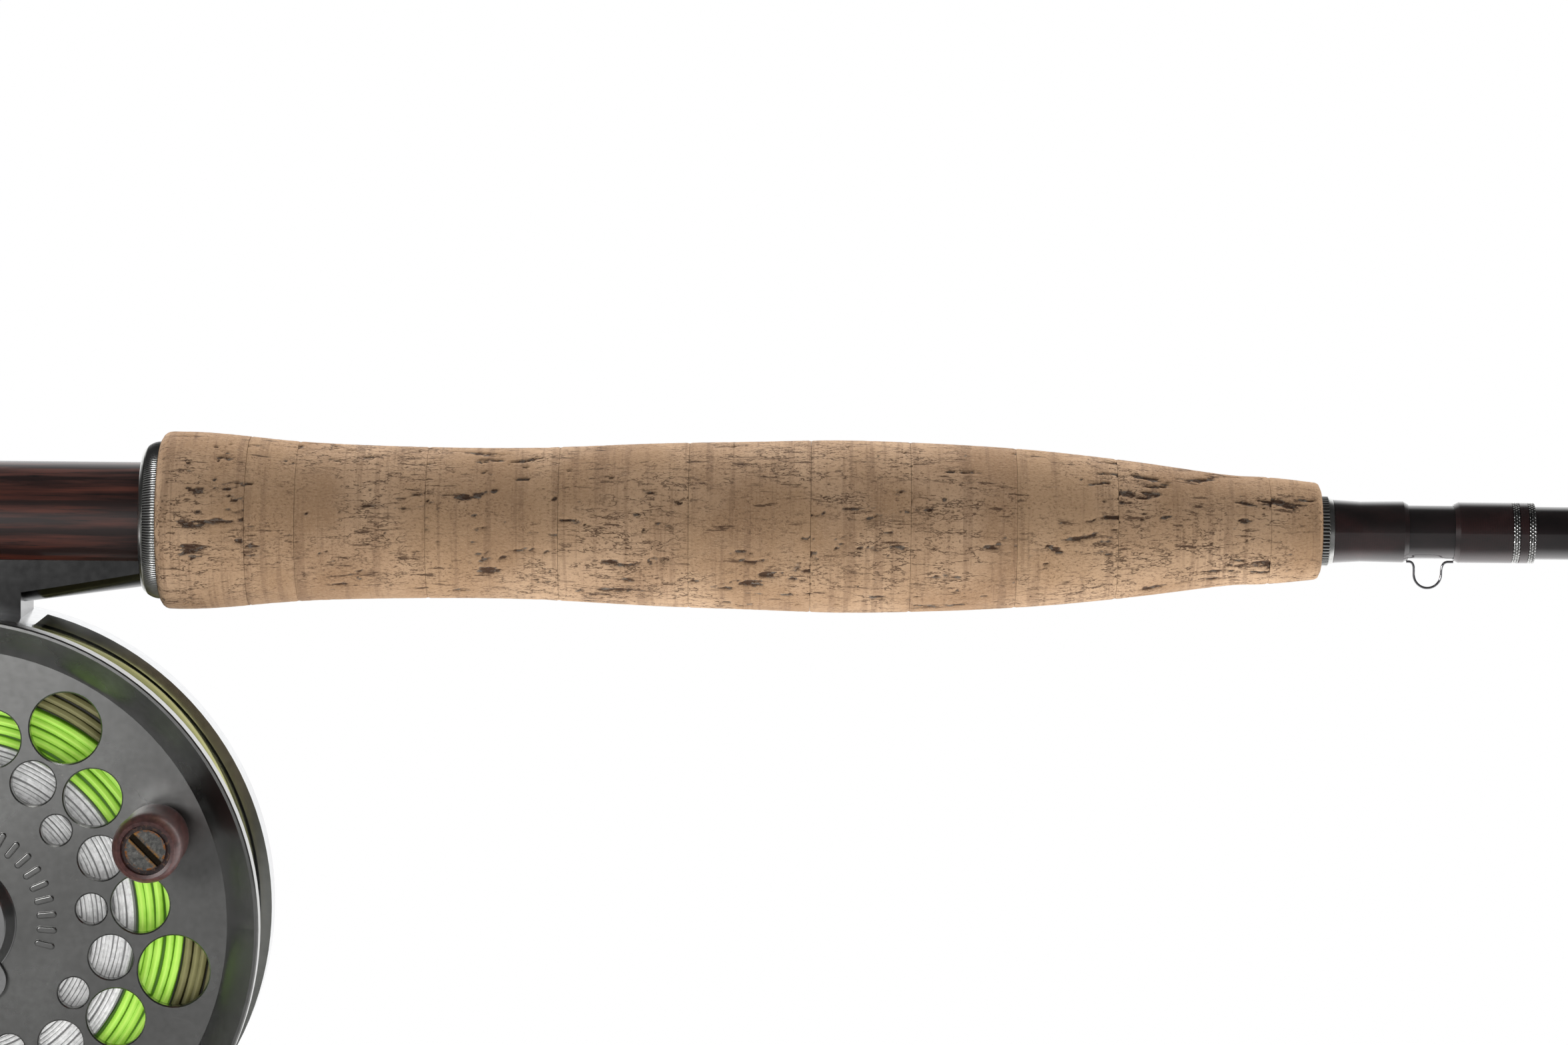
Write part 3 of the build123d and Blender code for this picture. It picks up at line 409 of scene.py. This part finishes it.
def makeLine(name, valleyShade, deep, bright, sheen, glow):
    # coated fly line: faint lengthwise mottle and a soft shine, with a painted highlight along the middle of
    # each strand, painted shade in the valleys where strands meet, and a painted glow
    material, tree, shader = newMaterial(name, Roughness=0.38, Specular_IOR_Level=0.5,
                                         Subsurface_Weight=0.05, Subsurface_Scale=0.0004)
    shader.inputs["Subsurface Radius"].default_value = (1.0, 1.0, 0.4)
    # painted glow: the line gives off its own colour as light, though it is no lamp
    shader.inputs["Emission Strength"].default_value = glow
    mottle = place(tree, stretchedNoise, Scale=420.0, Detail=3.0)
    base = mixColour(tree, ramp(tree, mottle.outputs[0], 0.35, 0.7, 0.25, 0.75), deep, bright)
    crownLightAndShade = addNode(tree, "ShaderNodeAttribute", attribute_name="crownLightAndShade").outputs["Fac"]
    # painted highlight: lighter along the middle of each strand
    base = mixColour(tree, ramp(tree, crownLightAndShade, 0.55, 0.95), base, bright)
    # painted shade: darker in the valleys where strands meet, and over the core beneath them
    base = mixColour(tree, ramp(tree, crownLightAndShade, 0.34, 0.04), base, valleyShade)
    tree.links.new(base, shader.inputs["Base Color"])
    tree.links.new(base, shader.inputs["Emission Color"])
    tree.links.new(ramp(tree, mottle.outputs[0], 0.3, 0.7, sheen, sheen + 0.15), shader.inputs["Roughness"])
    bumpFrom(tree, shader, mottle.outputs[0], 0.12, 0.00008)
    return material


def makeBacking():
    material, tree, shader = newMaterial("backingBraid", Sheen_Weight=0.25, Roughness=0.6)
    weave = place(tree, stretchedNoise, Scale=1500.0, Detail=2.0)
    base = mixColour(tree, ramp(tree, weave.outputs[0], 0.35, 0.65), (0.72, 0.72, 0.715), (0.97, 0.97, 0.96))
    crownLightAndShade = addNode(tree, "ShaderNodeAttribute", attribute_name="crownLightAndShade").outputs["Fac"]
    # painted shade: darker in the valleys where turns meet, and over the core beneath them
    base = mixColour(tree, ramp(tree, crownLightAndShade, 0.36, 0.04), base, (0.26, 0.26, 0.26))
    # painted glow: the braid gives off its own colour as light, though it is no lamp
    shader.inputs["Emission Strength"].default_value = 0.14
    tree.links.new(base, shader.inputs["Emission Color"])
    tree.links.new(base, shader.inputs["Base Color"])
    tree.links.new(ramp(tree, weave.outputs[0], 0.3, 0.7, 0.45, 0.65), shader.inputs["Roughness"])
    bumpFrom(tree, shader, weave.outputs[0], 0.5, 0.00012)
    return material


def makeKnobWood():
    material, tree, shader = newMaterial("knobWood", Coat_Weight=0.35, Coat_Roughness=0.25)
    grain = place(tree, stretchedNoise, Scale=1.0, Stretch=(1600.0, 260.0, 1600.0), Detail=4.0)
    marks = place(tree, wear, **{"Speck Scale": 1400.0})
    base = mixColour(tree, ramp(tree, grain.outputs[0], 0.35, 0.7), (0.050, 0.014, 0.012),
                     (0.105, 0.035, 0.03))
    base = mixColour(tree, marks.outputs["Specks"], base, (0.35, 0.26, 0.24))
    rust = multiply(tree, ringMask(tree, 2.9 * mm, 3.45 * mm), ramp(tree, grain.outputs[0], 0.52, 0.62))
    base = mixColour(tree, rust, base, (0.26, 0.11, 0.04))
    tree.links.new(base, shader.inputs["Base Color"])
    tree.links.new(ramp(tree, marks.outputs["Smudge"], 0.3, 0.7, 0.32, 0.5), shader.inputs["Roughness"])
    bumpFrom(tree, shader, grain.outputs[0], 0.15, 0.00006)
    return material


handleSpot = (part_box("handle_post")[0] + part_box("handle_post")[1]) / 2


def fromHandle(tree):
    where = addNode(tree, "ShaderNodeTexCoord").outputs["Object"]
    return addNode(tree, "ShaderNodeMapping", {
        "Vector": where, "Location": (-handleSpot.x, 0, -handleSpot.z)}).outputs[0]


def ringMask(tree, inner, outer):
    # 1 between two distances from the handle's axis, fading at both
    flat = addNode(tree, "ShaderNodeVectorMath", {0: fromHandle(tree), 1: (1, 0, 1)}, operation="MULTIPLY")
    away = addNode(tree, "ShaderNodeVectorMath", {0: flat.outputs[0]}, operation="LENGTH").outputs["Value"]
    return multiply(tree, ramp(tree, away, inner - 0.2 * mm, inner),
                    ramp(tree, away, outer + 0.1 * mm, outer))


def makeScrewMetal():
    # a screw head dulled by dirt, with rust at its edge and painted shade in its slot
    material, tree, shader = newMaterial("screwMetal", Metallic=0.9)
    patch = place(tree, stretchedNoise, Scale=1500.0, Detail=5.0, Rough=0.65).outputs[0]
    marks = place(tree, wear)
    base = mixColour(tree, ramp(tree, patch, 0.40, 0.70), (0.11, 0.11, 0.105), (0.24, 0.235, 0.22))
    rusty = multiply(tree, ringMask(tree, 2.7 * mm, 3.2 * mm), ramp(tree, patch, 0.46, 0.56))
    base = mixColour(tree, rusty, base, (0.30, 0.12, 0.04))
    across = addNode(tree, "ShaderNodeVectorMath", {0: fromHandle(tree), 1: (0.7071, 0, 0.7071)},
                     operation="DOT_PRODUCT").outputs["Value"]
    away = addNode(tree, "ShaderNodeMath", {0: across}, operation="ABSOLUTE").outputs[0]
    fringe = multiply(tree, ramp(tree, away, 0.95 * mm, 0.6 * mm), ramp(tree, patch, 0.42, 0.54))
    base = mixColour(tree, fringe, base, (0.34, 0.17, 0.05))
    # painted shade: near-black along the slot
    base = mixColour(tree, ramp(tree, away, 0.58 * mm, 0.42 * mm), base, (0.02, 0.014, 0.008))
    tree.links.new(base, shader.inputs["Base Color"])
    tree.links.new(ramp(tree, marks.outputs["Smudge"], 0.3, 0.7, 0.25, 0.5), shader.inputs["Roughness"])
    bumpFrom(tree, shader, patch, 0.4, 0.0001)
    return material


finishes = {
    "cork": makeCork(),
    "seatWood": makeWood(),
    "blank": makeBlankFinish("graphiteBlank", (0.006, 0.003, 0.0035), (0.018, 0.007, 0.008), 0),
    "thread": makeBlankFinish("whippingThread", (0.010, 0.003, 0.0035), (0.055, 0.011, 0.010), 0.16 * mm),
    "silverBraid": makeMetal("silverBraid", (0.30, 0.30, 0.30), (0.85, 0.85, 0.83), 0.25),
    "nickel": makeMetal("nickelSilver", (0.62, 0.62, 0.60), (0.82, 0.82, 0.80), 0.27),
    "spoolGrey": makeMetal("spoolAnodised", (0.32, 0.32, 0.312), (0.38, 0.38, 0.372), 0.26),
    "frameGrey": makeMetal("frameAnodised", (0.52, 0.53, 0.54), (0.62, 0.63, 0.64), 0.2),
    "footBlack": makeMetal("footAnodised", (0.055, 0.055, 0.055), (0.08, 0.08, 0.08), 0.2),
    "capGrey": makeMetal("capTurned", (0.52, 0.52, 0.52), (0.62, 0.62, 0.62), 0.24),
    "steel": makeMetal("machinedSteel", (0.45, 0.45, 0.45), (0.62, 0.62, 0.62), 0.25),
    "guideChrome": makeMetal("guideChrome", (0.5, 0.5, 0.52), (0.7, 0.7, 0.72), 0.12),
    "bronze": makeMetal("oiledBronze", (0.42, 0.25, 0.11), (0.60, 0.40, 0.20), 0.32),
    "dragCork": makeMetal("oiledCork", (0.22, 0.13, 0.07), (0.34, 0.22, 0.12), 0.7, metallic=0.0),
    "ceramic": makeMetal("guideCeramic", (0.02, 0.02, 0.022), (0.035, 0.035, 0.04), 0.08, metallic=0.0),
    "knobWood": makeKnobWood(),
    "screwMetal": makeScrewMetal(),
    "backing": makeBacking(),
    # for each line the first colour is its painted valley shade and the last number its painted glow
    "greenLine": makeLine("greenFlyLine", (0.07, 0.19, 0.006), (0.29, 0.64, 0.035), (0.56, 0.93, 0.14), 0.32,
                          0.26),
    "oliveLine": makeLine("oliveFlyLine", (0.03, 0.027, 0.01), (0.17, 0.16, 0.05), (0.34, 0.32, 0.13), 0.36,
                          0.0),
    "paleLine": makeLine("paleFlyLine", (0.3, 0.3, 0.12), (0.52, 0.53, 0.22), (0.68, 0.69, 0.34), 0.4, 0.1),
}

lastRing = 11
nodeFinish = {
    "seatWood": ["wood_insert"],
    "nickel": ["butt_cap", "threaded_barrel", "hood_ring", "fixed_hood", "sliding_hood", "lock_nut",
               "winding_check"],
    "thread": ["keeper_wrap_rear", "keeper_wrap_front", "guide_wraps_2", "guide_wraps_3", "guide_wraps_4"],
    "silverBraid": ["trim_bands"],
    "guideChrome": ["hook_keeper", "stripping_guide", "snake_guide_2", "snake_guides_3", "snake_guides_4",
                    "tip_top"],
    "ceramic": ["stripping_ring"],
    "blank": ["blank_butt", "blank_section_2", "blank_section_3", "blank_section_4"],
    "footBlack": ["reel_foot"],
    "steel": ["foot_screws", "spindle", "drag_springs", "click_gear", "click_pawl", "click_spring",
              "latch_spring", "handle_post", "drag_plate"],
    "screwMetal": ["handle_screw"],
    "frameGrey": ["reel_frame"],
    "spoolGrey": ["spool", "drag_knob"],
    "dragCork": ["drag_washer"],
    "bronze": ["spool_bushings", "counterweight"],
    "capGrey": ["centre_cap", "release_latch"],
    "knobWood": ["handle_knob"],
    "backing": ["backing_winding"],
    "greenLine": ["green_line_winding"],
    "oliveLine": ["olive_line_winding"],
    "cork": [f"cork_ring_{number:02d}" for number in range(1, lastRing + 1)],
}


def finishNodes():
    for finish, names in nodeFinish.items():
        for name in names:
            piece = cadNodes[name]
            if not piece.material_slots:
                piece.data.materials.append(finishes[finish])
            for slot in piece.material_slots:
                slot.material = finishes[finish]


finishNodes()
print("materials ready:", len(finishes))


def spinOutline(name, outline, axisPoint, axisWay, acrossWay, steps, smoothAngle=35):
    # a closed outline of (along the axis, out from it) points, spun all the way round
    mesh = bpy.data.meshes.new(name)
    axisWay, acrossWay = Vector(axisWay), Vector(acrossWay)
    points = [Vector(axisPoint) + axisWay * along + acrossWay * out for along, out in outline]
    mesh.from_pydata(points, [(i, (i + 1) % len(points)) for i in range(len(points))], [])
    piece = bpy.data.objects.new(name, mesh)
    bpy.context.scene.collection.objects.link(piece)
    bpy.ops.object.select_all(action="DESELECT")
    bpy.context.view_layer.objects.active = piece
    piece.select_set(True)
    bpy.ops.object.mode_set(mode="EDIT")
    bpy.ops.mesh.select_all(action="SELECT")
    bpy.ops.mesh.spin(steps=steps, angle=2 * math.pi, center=axisPoint, axis=axisWay)
    bpy.ops.mesh.select_all(action="SELECT")
    bpy.ops.mesh.remove_doubles(threshold=1e-7)
    bpy.ops.mesh.normals_make_consistent(inside=False)
    bpy.ops.object.mode_set(mode="OBJECT")
    bpy.ops.object.shade_smooth_by_angle(angle=math.radians(smoothAngle))
    return piece


def give(piece, finish, body, slot, *replaced):
    piece.data.materials.clear()
    piece.data.materials.append(finishes[finish])
    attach(piece, body)
    if replaced:
        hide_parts(*replaced)


def outerRadius(node, x):
    # the CAD node's radius about the rod at x, found with a ray from the side
    hit, point, normal, face = cadNodes[node].ray_cast(Vector((x, -0.06, 0)), Vector((0, 1, 0)))
    return -point.y if hit else None


gripCork = {"step": 0.36 * mm, "around": 230, "seam": 0.09 * mm, "pitDepth": 0.32 * mm, "bore": 4.4 * mm,
            "frontCorner": 0.9 * mm, "hoodRecess": 10.42 * mm, "hoodDepth": 9.0 * mm}


cracks = {"along": 120, "across": 760, "from": 0.60, "gain": 3.2}
holes = {"along": 520, "across": 800, "from": 0.78, "gain": 4.0}
clusters = {"along": 55, "across": 95, "inCracks": 0.75, "inHoles": 0.3}
wander = {"size": 0.0012, "pace": 160}
ringShift = 3.7


def pitAt(point, ring):
    # how deep the cork is pitted here, 0 to 1: long broken cracks lying along the grip, and small holes
    along, across = point.x, Vector((point.y, point.z))
    shift = ring * ringShift
    sway = wander["size"] * noise.noise(Vector((along * wander["pace"], across.x * wander["pace"], shift)))
    crack = noise.fractal(Vector((along * cracks["along"] + shift, (across.x + sway) * cracks["across"],
                                  (across.y + sway) * cracks["across"])), 0.7, 2.2, 5)
    cluster = noise.noise(Vector((along * clusters["along"] + shift, across.x * clusters["across"],
                                  across.y * clusters["across"] + shift)))
    hole = noise.fractal(Vector((along * holes["along"], across.x * holes["across"] + shift,
                                 across.y * holes["across"])), 0.8, 2.0, 3)
    pit = max(0.0, crack - cracks["from"] + clusters["inCracks"] * cluster) * cracks["gain"]
    pit = max(pit, max(0.0, hole + clusters["inHoles"] * cluster - holes["from"]) * holes["gain"])
    return min(1.0, pit)


def makeCorkRing(number):
    node = f"cork_ring_{number:02d}"
    low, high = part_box(node)
    inset = 0.02 * mm
    count = max(4, round((high.x - low.x) / gripCork["step"]))
    corner = gripCork["frontCorner"]
    straightFrom = high.x - corner * 2.8
    outline = []
    for i in range(count + 1):
        x = low.x + inset + (high.x - low.x - 2 * inset) * i / count
        radius = outerRadius(node, min(max(x, low.x + 0.05 * mm), high.x - 0.05 * mm))
        if number == lastRing and x > straightFrom:
            # the taper carried on straight to a tight corner
            slope = (outerRadius(node, straightFrom) - outerRadius(node, straightFrom - 2 * mm)) / (2 * mm)
            past = max(0.0, x - high.x + inset + corner) / corner
            trim = corner * (1 - math.sqrt(max(0.0, 1 - past * past)))
            radius = outerRadius(node, straightFrom) + slope * (x - straightFrom) - trim
        elif i in (0, count) and number > 1:
            radius -= gripCork["seam"]
        outline.append((x, radius))
    if number == 1:
        depth = low.x + gripCork["hoodDepth"]
        outline += [(high.x - inset, gripCork["bore"]), (depth, gripCork["bore"]),
                    (depth, gripCork["hoodRecess"]), (low.x + inset, gripCork["hoodRecess"])]
    else:
        outline += [(high.x - inset, gripCork["bore"]), (low.x + inset, gripCork["bore"])]
    piece = spinOutline(f"corkGripRing{number:02d}", outline, (0, 0, 0), (1, 0, 0), (0, 0, -1),
                        gripCork["around"], 50)
    tones = piece.data.attributes.new("tone", "FLOAT", "POINT")
    pits = piece.data.attributes.new("pit", "FLOAT", "POINT")
    ringTone = random.uniform(0.1, 0.75)
    for vertex in piece.data.vertices:
        out = Vector((0, vertex.co.y, vertex.co.z))
        drift = noise.noise(Vector((vertex.co.x * 90, vertex.co.y * 60, vertex.co.z * 60 + number)))
        tones.data[vertex.index].value = min(1.0, max(0.0, ringTone + 0.5 * drift))
        if out.length < gripCork["bore"] * 1.15:
            continue
        pit = pitAt(vertex.co, number)
        pits.data[vertex.index].value = pit
        ripple = 0.05 * mm * noise.noise(vertex.co * 900)
        vertex.co -= out.normalized() * (gripCork["pitDepth"] * pit + abs(ripple))
    give(piece, "cork", "rod_handle", "cork", node)


for number in range(1, lastRing + 1):
    makeCorkRing(number)
print("cork grip ready")


def knurl(piece, axisPoint, axisWay, ridges, low, high, floor, depth):
    # raises axial ridges on what lies between low and high along the axis and above floor
    axisWay = Vector(axisWay)
    side = axisWay.orthogonal().normalized()
    other = axisWay.cross(side)
    # keeps how far down a groove each point lies, which sets the painted shade there
    grooves = piece.data.attributes.new("groove", "FLOAT", "POINT")
    for vertex in piece.data.vertices:
        along = (vertex.co - Vector(axisPoint)).dot(axisWay)
        out = vertex.co - Vector(axisPoint) - axisWay * along
        if low < along < high and out.length > floor:
            angle = math.atan2(out.dot(other), out.dot(side))
            wave = 0.5 + 0.5 * math.cos(angle * ridges)
            grooves.data[vertex.index].value = 1 - wave
            vertex.co -= out.normalized() * depth * (1 - wave) ** 1.5


hoodRing = {"ridges": 176, "depth": 0.24 * mm, "flange": 0.55 * mm, "flangeDrop": 0.85 * mm,
            "dome": 0.62 * mm}


def makeHoodRing():
    low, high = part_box("hood_ring")
    start, end, radius = low.x, high.x, high.z
    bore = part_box("wood_insert")[1].z + 0.02 * mm
    flange, drop = start + hoodRing["flange"], radius - hoodRing["flangeDrop"]
    outline = [(start, bore), (start, drop - 0.5 * mm), (start + 0.15 * mm, drop - 0.25 * mm),
               (flange - 0.1 * mm, drop), (flange, drop - 0.03 * mm), (flange + 0.08 * mm, drop - 0.15 * mm)]
    rise = flange + 0.14 * mm
    for i in range(8):
        share = i / 7
        outline.append((rise + (end - 0.15 * mm - rise) * share,
                        radius - hoodRing["dome"] * (1 - share) ** 2.2))
    outline += [(end, radius - 0.2 * mm), (end, bore)]
    piece = spinOutline("hoodRingKnurled", outline, (0, 0, 0), (1, 0, 0), (0, 0, -1),
                        hoodRing["ridges"] * 4, 30)
    knurl(piece, (0, 0, 0), (1, 0, 0), hoodRing["ridges"], rise - 0.01 * mm, end - 0.1 * mm,
          radius - hoodRing["flangeDrop"], hoodRing["depth"])
    give(piece, "nickel", "rod_handle", "nickel", "hood_ring")


windingCheck = {"ridges": 58, "depth": 0.2 * mm, "band": 1.15 * mm, "bore": 4.4 * mm}


def makeWindingCheck():
    low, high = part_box("winding_check")
    start, end, radius = low.x, high.x, high.z
    bore = windingCheck["bore"]
    band = start + windingCheck["band"]
    outline = [(start, bore), (start, radius - 0.25 * mm)]
    outline += [(start + 0.12 * mm + (band - start - 0.2 * mm) * i / 4, radius) for i in range(5)]
    outline += [(band, radius - 0.3 * mm), (band + 0.05 * mm, radius - 0.25 * mm),
                (end - 0.25 * mm, radius - 0.35 * mm), (end - 0.08 * mm, radius - 0.42 * mm),
                (end, radius - 0.55 * mm), (end, bore)]
    piece = spinOutline("windingCheckKnurled", outline, (0, 0, 0), (1, 0, 0), (0, 0, -1),
                        windingCheck["ridges"] * 6, 30)
    knurl(piece, (0, 0, 0), (1, 0, 0), windingCheck["ridges"], start + 0.05 * mm, band - 0.02 * mm,
          radius - 0.15 * mm, windingCheck["depth"])
    give(piece, "nickel", "rod_handle", "nickel", "winding_check")


makeHoodRing()
makeWindingCheck()
print("knurled rings ready")


windings = {
    "backing": {"inner": 16.1 * mm, "outer": 26.65 * mm, "strand": 0.31 * mm, "wave": 0.10 * mm,
                "finish": "backing", "slot": "backing", "node": "backing_winding"},
    "greenLine": {"inner": 26.65 * mm, "outer": 33.4 * mm, "strand": 0.68 * mm, "wave": 0.17 * mm,
                  "finish": "greenLine", "slot": "green_line", "node": "green_line_winding"},
    "oliveLine": {"inner": 33.4 * mm, "outer": 41.5 * mm, "strand": 0.68 * mm, "wave": 0.17 * mm,
                  "finish": "oliveLine", "slot": "olive_line", "node": "olive_line_winding"},
}


def addStrand(name, radius, depth, thick, wave, around, sides=8):
    # one turn of line about the spindle, wandering a little in and out and to and fro
    bpy.ops.object.select_all(action="DESELECT")
    bpy.ops.mesh.primitive_torus_add(major_radius=radius, minor_radius=thick, major_segments=around,
                                     minor_segments=sides, rotation=(math.pi / 2, 0, 0),
                                     location=(spindle.x, depth, spindle.z))
    piece = bpy.context.object
    piece.name = name
    bpy.ops.object.transform_apply(location=True, rotation=True)
    phase, lobes = random.uniform(0, 6.28), random.choice((2, 3, 3, 4, 5))
    # how near the middle of the strand each point lies, which sets the painted highlight and painted shade
    crownLightAndShadeValues = piece.data.attributes.new("crownLightAndShade", "FLOAT", "POINT")
    for vertex in piece.data.vertices:
        off = math.hypot(vertex.co.x - spindle.x, vertex.co.z - spindle.z) - radius
        crownLightAndShadeValues.data[vertex.index].value = 1 - abs(off) / thick
        out = Vector((vertex.co.x - spindle.x, 0, vertex.co.z - spindle.z))
        angle = math.atan2(out.z, out.x)
        vertex.co += out.normalized() * wave * math.sin(lobes * angle + phase)
        vertex.co.y += 0.7 * wave * math.sin((lobes + 1) * angle + 2 * phase)
    return piece


def joinPieces(name, pieces):
    bpy.ops.object.select_all(action="DESELECT")
    for piece in pieces:
        piece.select_set(True)
    bpy.context.view_layer.objects.active = pieces[0]
    bpy.ops.object.join()
    whole = bpy.context.object
    whole.name = name
    bpy.ops.object.shade_smooth_by_angle(angle=math.radians(40))
    return whole


def makeWinding(name, winding):
    low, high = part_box(winding["node"])
    thick = winding["strand"]
    pieces = []
    # a solid core under the turns; it carries no strand values, so it takes the painted valley shade all
    # over
    core = [(low.y + 1.1 * thick, winding["inner"]), (high.y - 1.1 * thick, winding["inner"]),
            (high.y - 1.1 * thick, winding["outer"] - 0.8 * thick),
            (low.y + 1.1 * thick, winding["outer"] - 0.8 * thick)]
    pieces.append(spinOutline(name + "Core", core, spindle, (0, 1, 0), (1, 0, 0), 96))
    radius = winding["inner"] + 1.05 * thick
    around = 120 if thick < 0.4 * mm else 150
    while radius < winding["outer"] - 0.9 * thick:
        for depth in (low.y + 1.15 * thick, high.y - 1.15 * thick):
            pieces.append(addStrand(name, radius, depth, thick, winding["wave"], around))
        radius += 1.93 * thick
    if name == "oliveLine":
        depth = low.y + 3.1 * thick
        while depth < high.y - 2.2 * thick:
            pieces.append(addStrand(name, winding["outer"] - 1.15 * thick, depth, thick,
                                    0.5 * winding["wave"], around))
            depth += 1.95 * thick
    whole = joinPieces(name + "Turns", pieces)
    give(whole, winding["finish"], "spool", winding["slot"], winding["node"])


for name, winding in windings.items():
    makeWinding(name, winding)


looseTurn = {"radius": 41.75 * mm, "rise": 0.82 * mm, "at": 50, "spread": 24, "depth": 4.2 * mm,
             "thick": 0.55 * mm}


def makeLooseTurn():
    # the last turn of line, standing off the winding on one side
    piece = addStrand("looseTurnOfLine", looseTurn["radius"], looseTurn["depth"], looseTurn["thick"], 0.0,
                      220, 10)
    for vertex in piece.data.vertices:
        out = Vector((vertex.co.x - spindle.x, 0, vertex.co.z - spindle.z))
        away = (math.degrees(math.atan2(out.z, out.x)) - looseTurn["at"]) / looseTurn["spread"]
        vertex.co += out.normalized() * looseTurn["rise"] * math.exp(-away * away)
    bpy.ops.object.shade_smooth_by_angle(angle=math.radians(60))
    give(piece, "paleLine", "spool", "olive_line")


makeLooseTurn()
print("windings ready")

trimBraid = {"width": 1.06 * mm, "strands": 3, "stitches": 46, "swell": 0.45, "stand": 0.03 * mm}


def makeTrimBands():
    # metallic braid whipped round the varnish, each strand's stitches half a step on from its neighbour's
    low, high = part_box("trim_bands")
    thick = trimBraid["width"] / 2 / trimBraid["strands"]
    pieces = []
    for first in (low.x, high.x - trimBraid["width"]):
        for strand in range(trimBraid["strands"]):
            bpy.ops.object.select_all(action="DESELECT")
            bpy.ops.mesh.primitive_torus_add(
                major_radius=high.z - thick + trimBraid["stand"], minor_radius=thick,
                major_segments=trimBraid["stitches"] * 6, minor_segments=8, rotation=(0, math.pi / 2, 0),
                location=(first + thick * (2 * strand + 1), 0, 0))
            piece = bpy.context.object
            bpy.ops.object.transform_apply(location=True, rotation=True)
            for vertex in piece.data.vertices:
                angle = math.atan2(vertex.co.z, vertex.co.y)
                beat = math.cos(trimBraid["stitches"] * angle + math.pi * strand)
                centre = first + thick * (2 * strand + 1)
                lift = math.hypot(vertex.co.y, vertex.co.z) - high.z + thick
                ease = 1 - trimBraid["swell"] * (0.5 - 0.5 * beat) ** 3
                vertex.co.x = centre + (vertex.co.x - centre) * ease
                shrink = (high.z - thick + lift * ease) / (high.z - thick + lift)
                vertex.co.y *= shrink
                vertex.co.z *= shrink
            pieces.append(piece)
    whole = joinPieces("trimBraids", pieces)
    give(whole, "silverBraid", "rod_handle", "silver_thread", "trim_bands")


makeTrimBands()
print("trim braids ready")
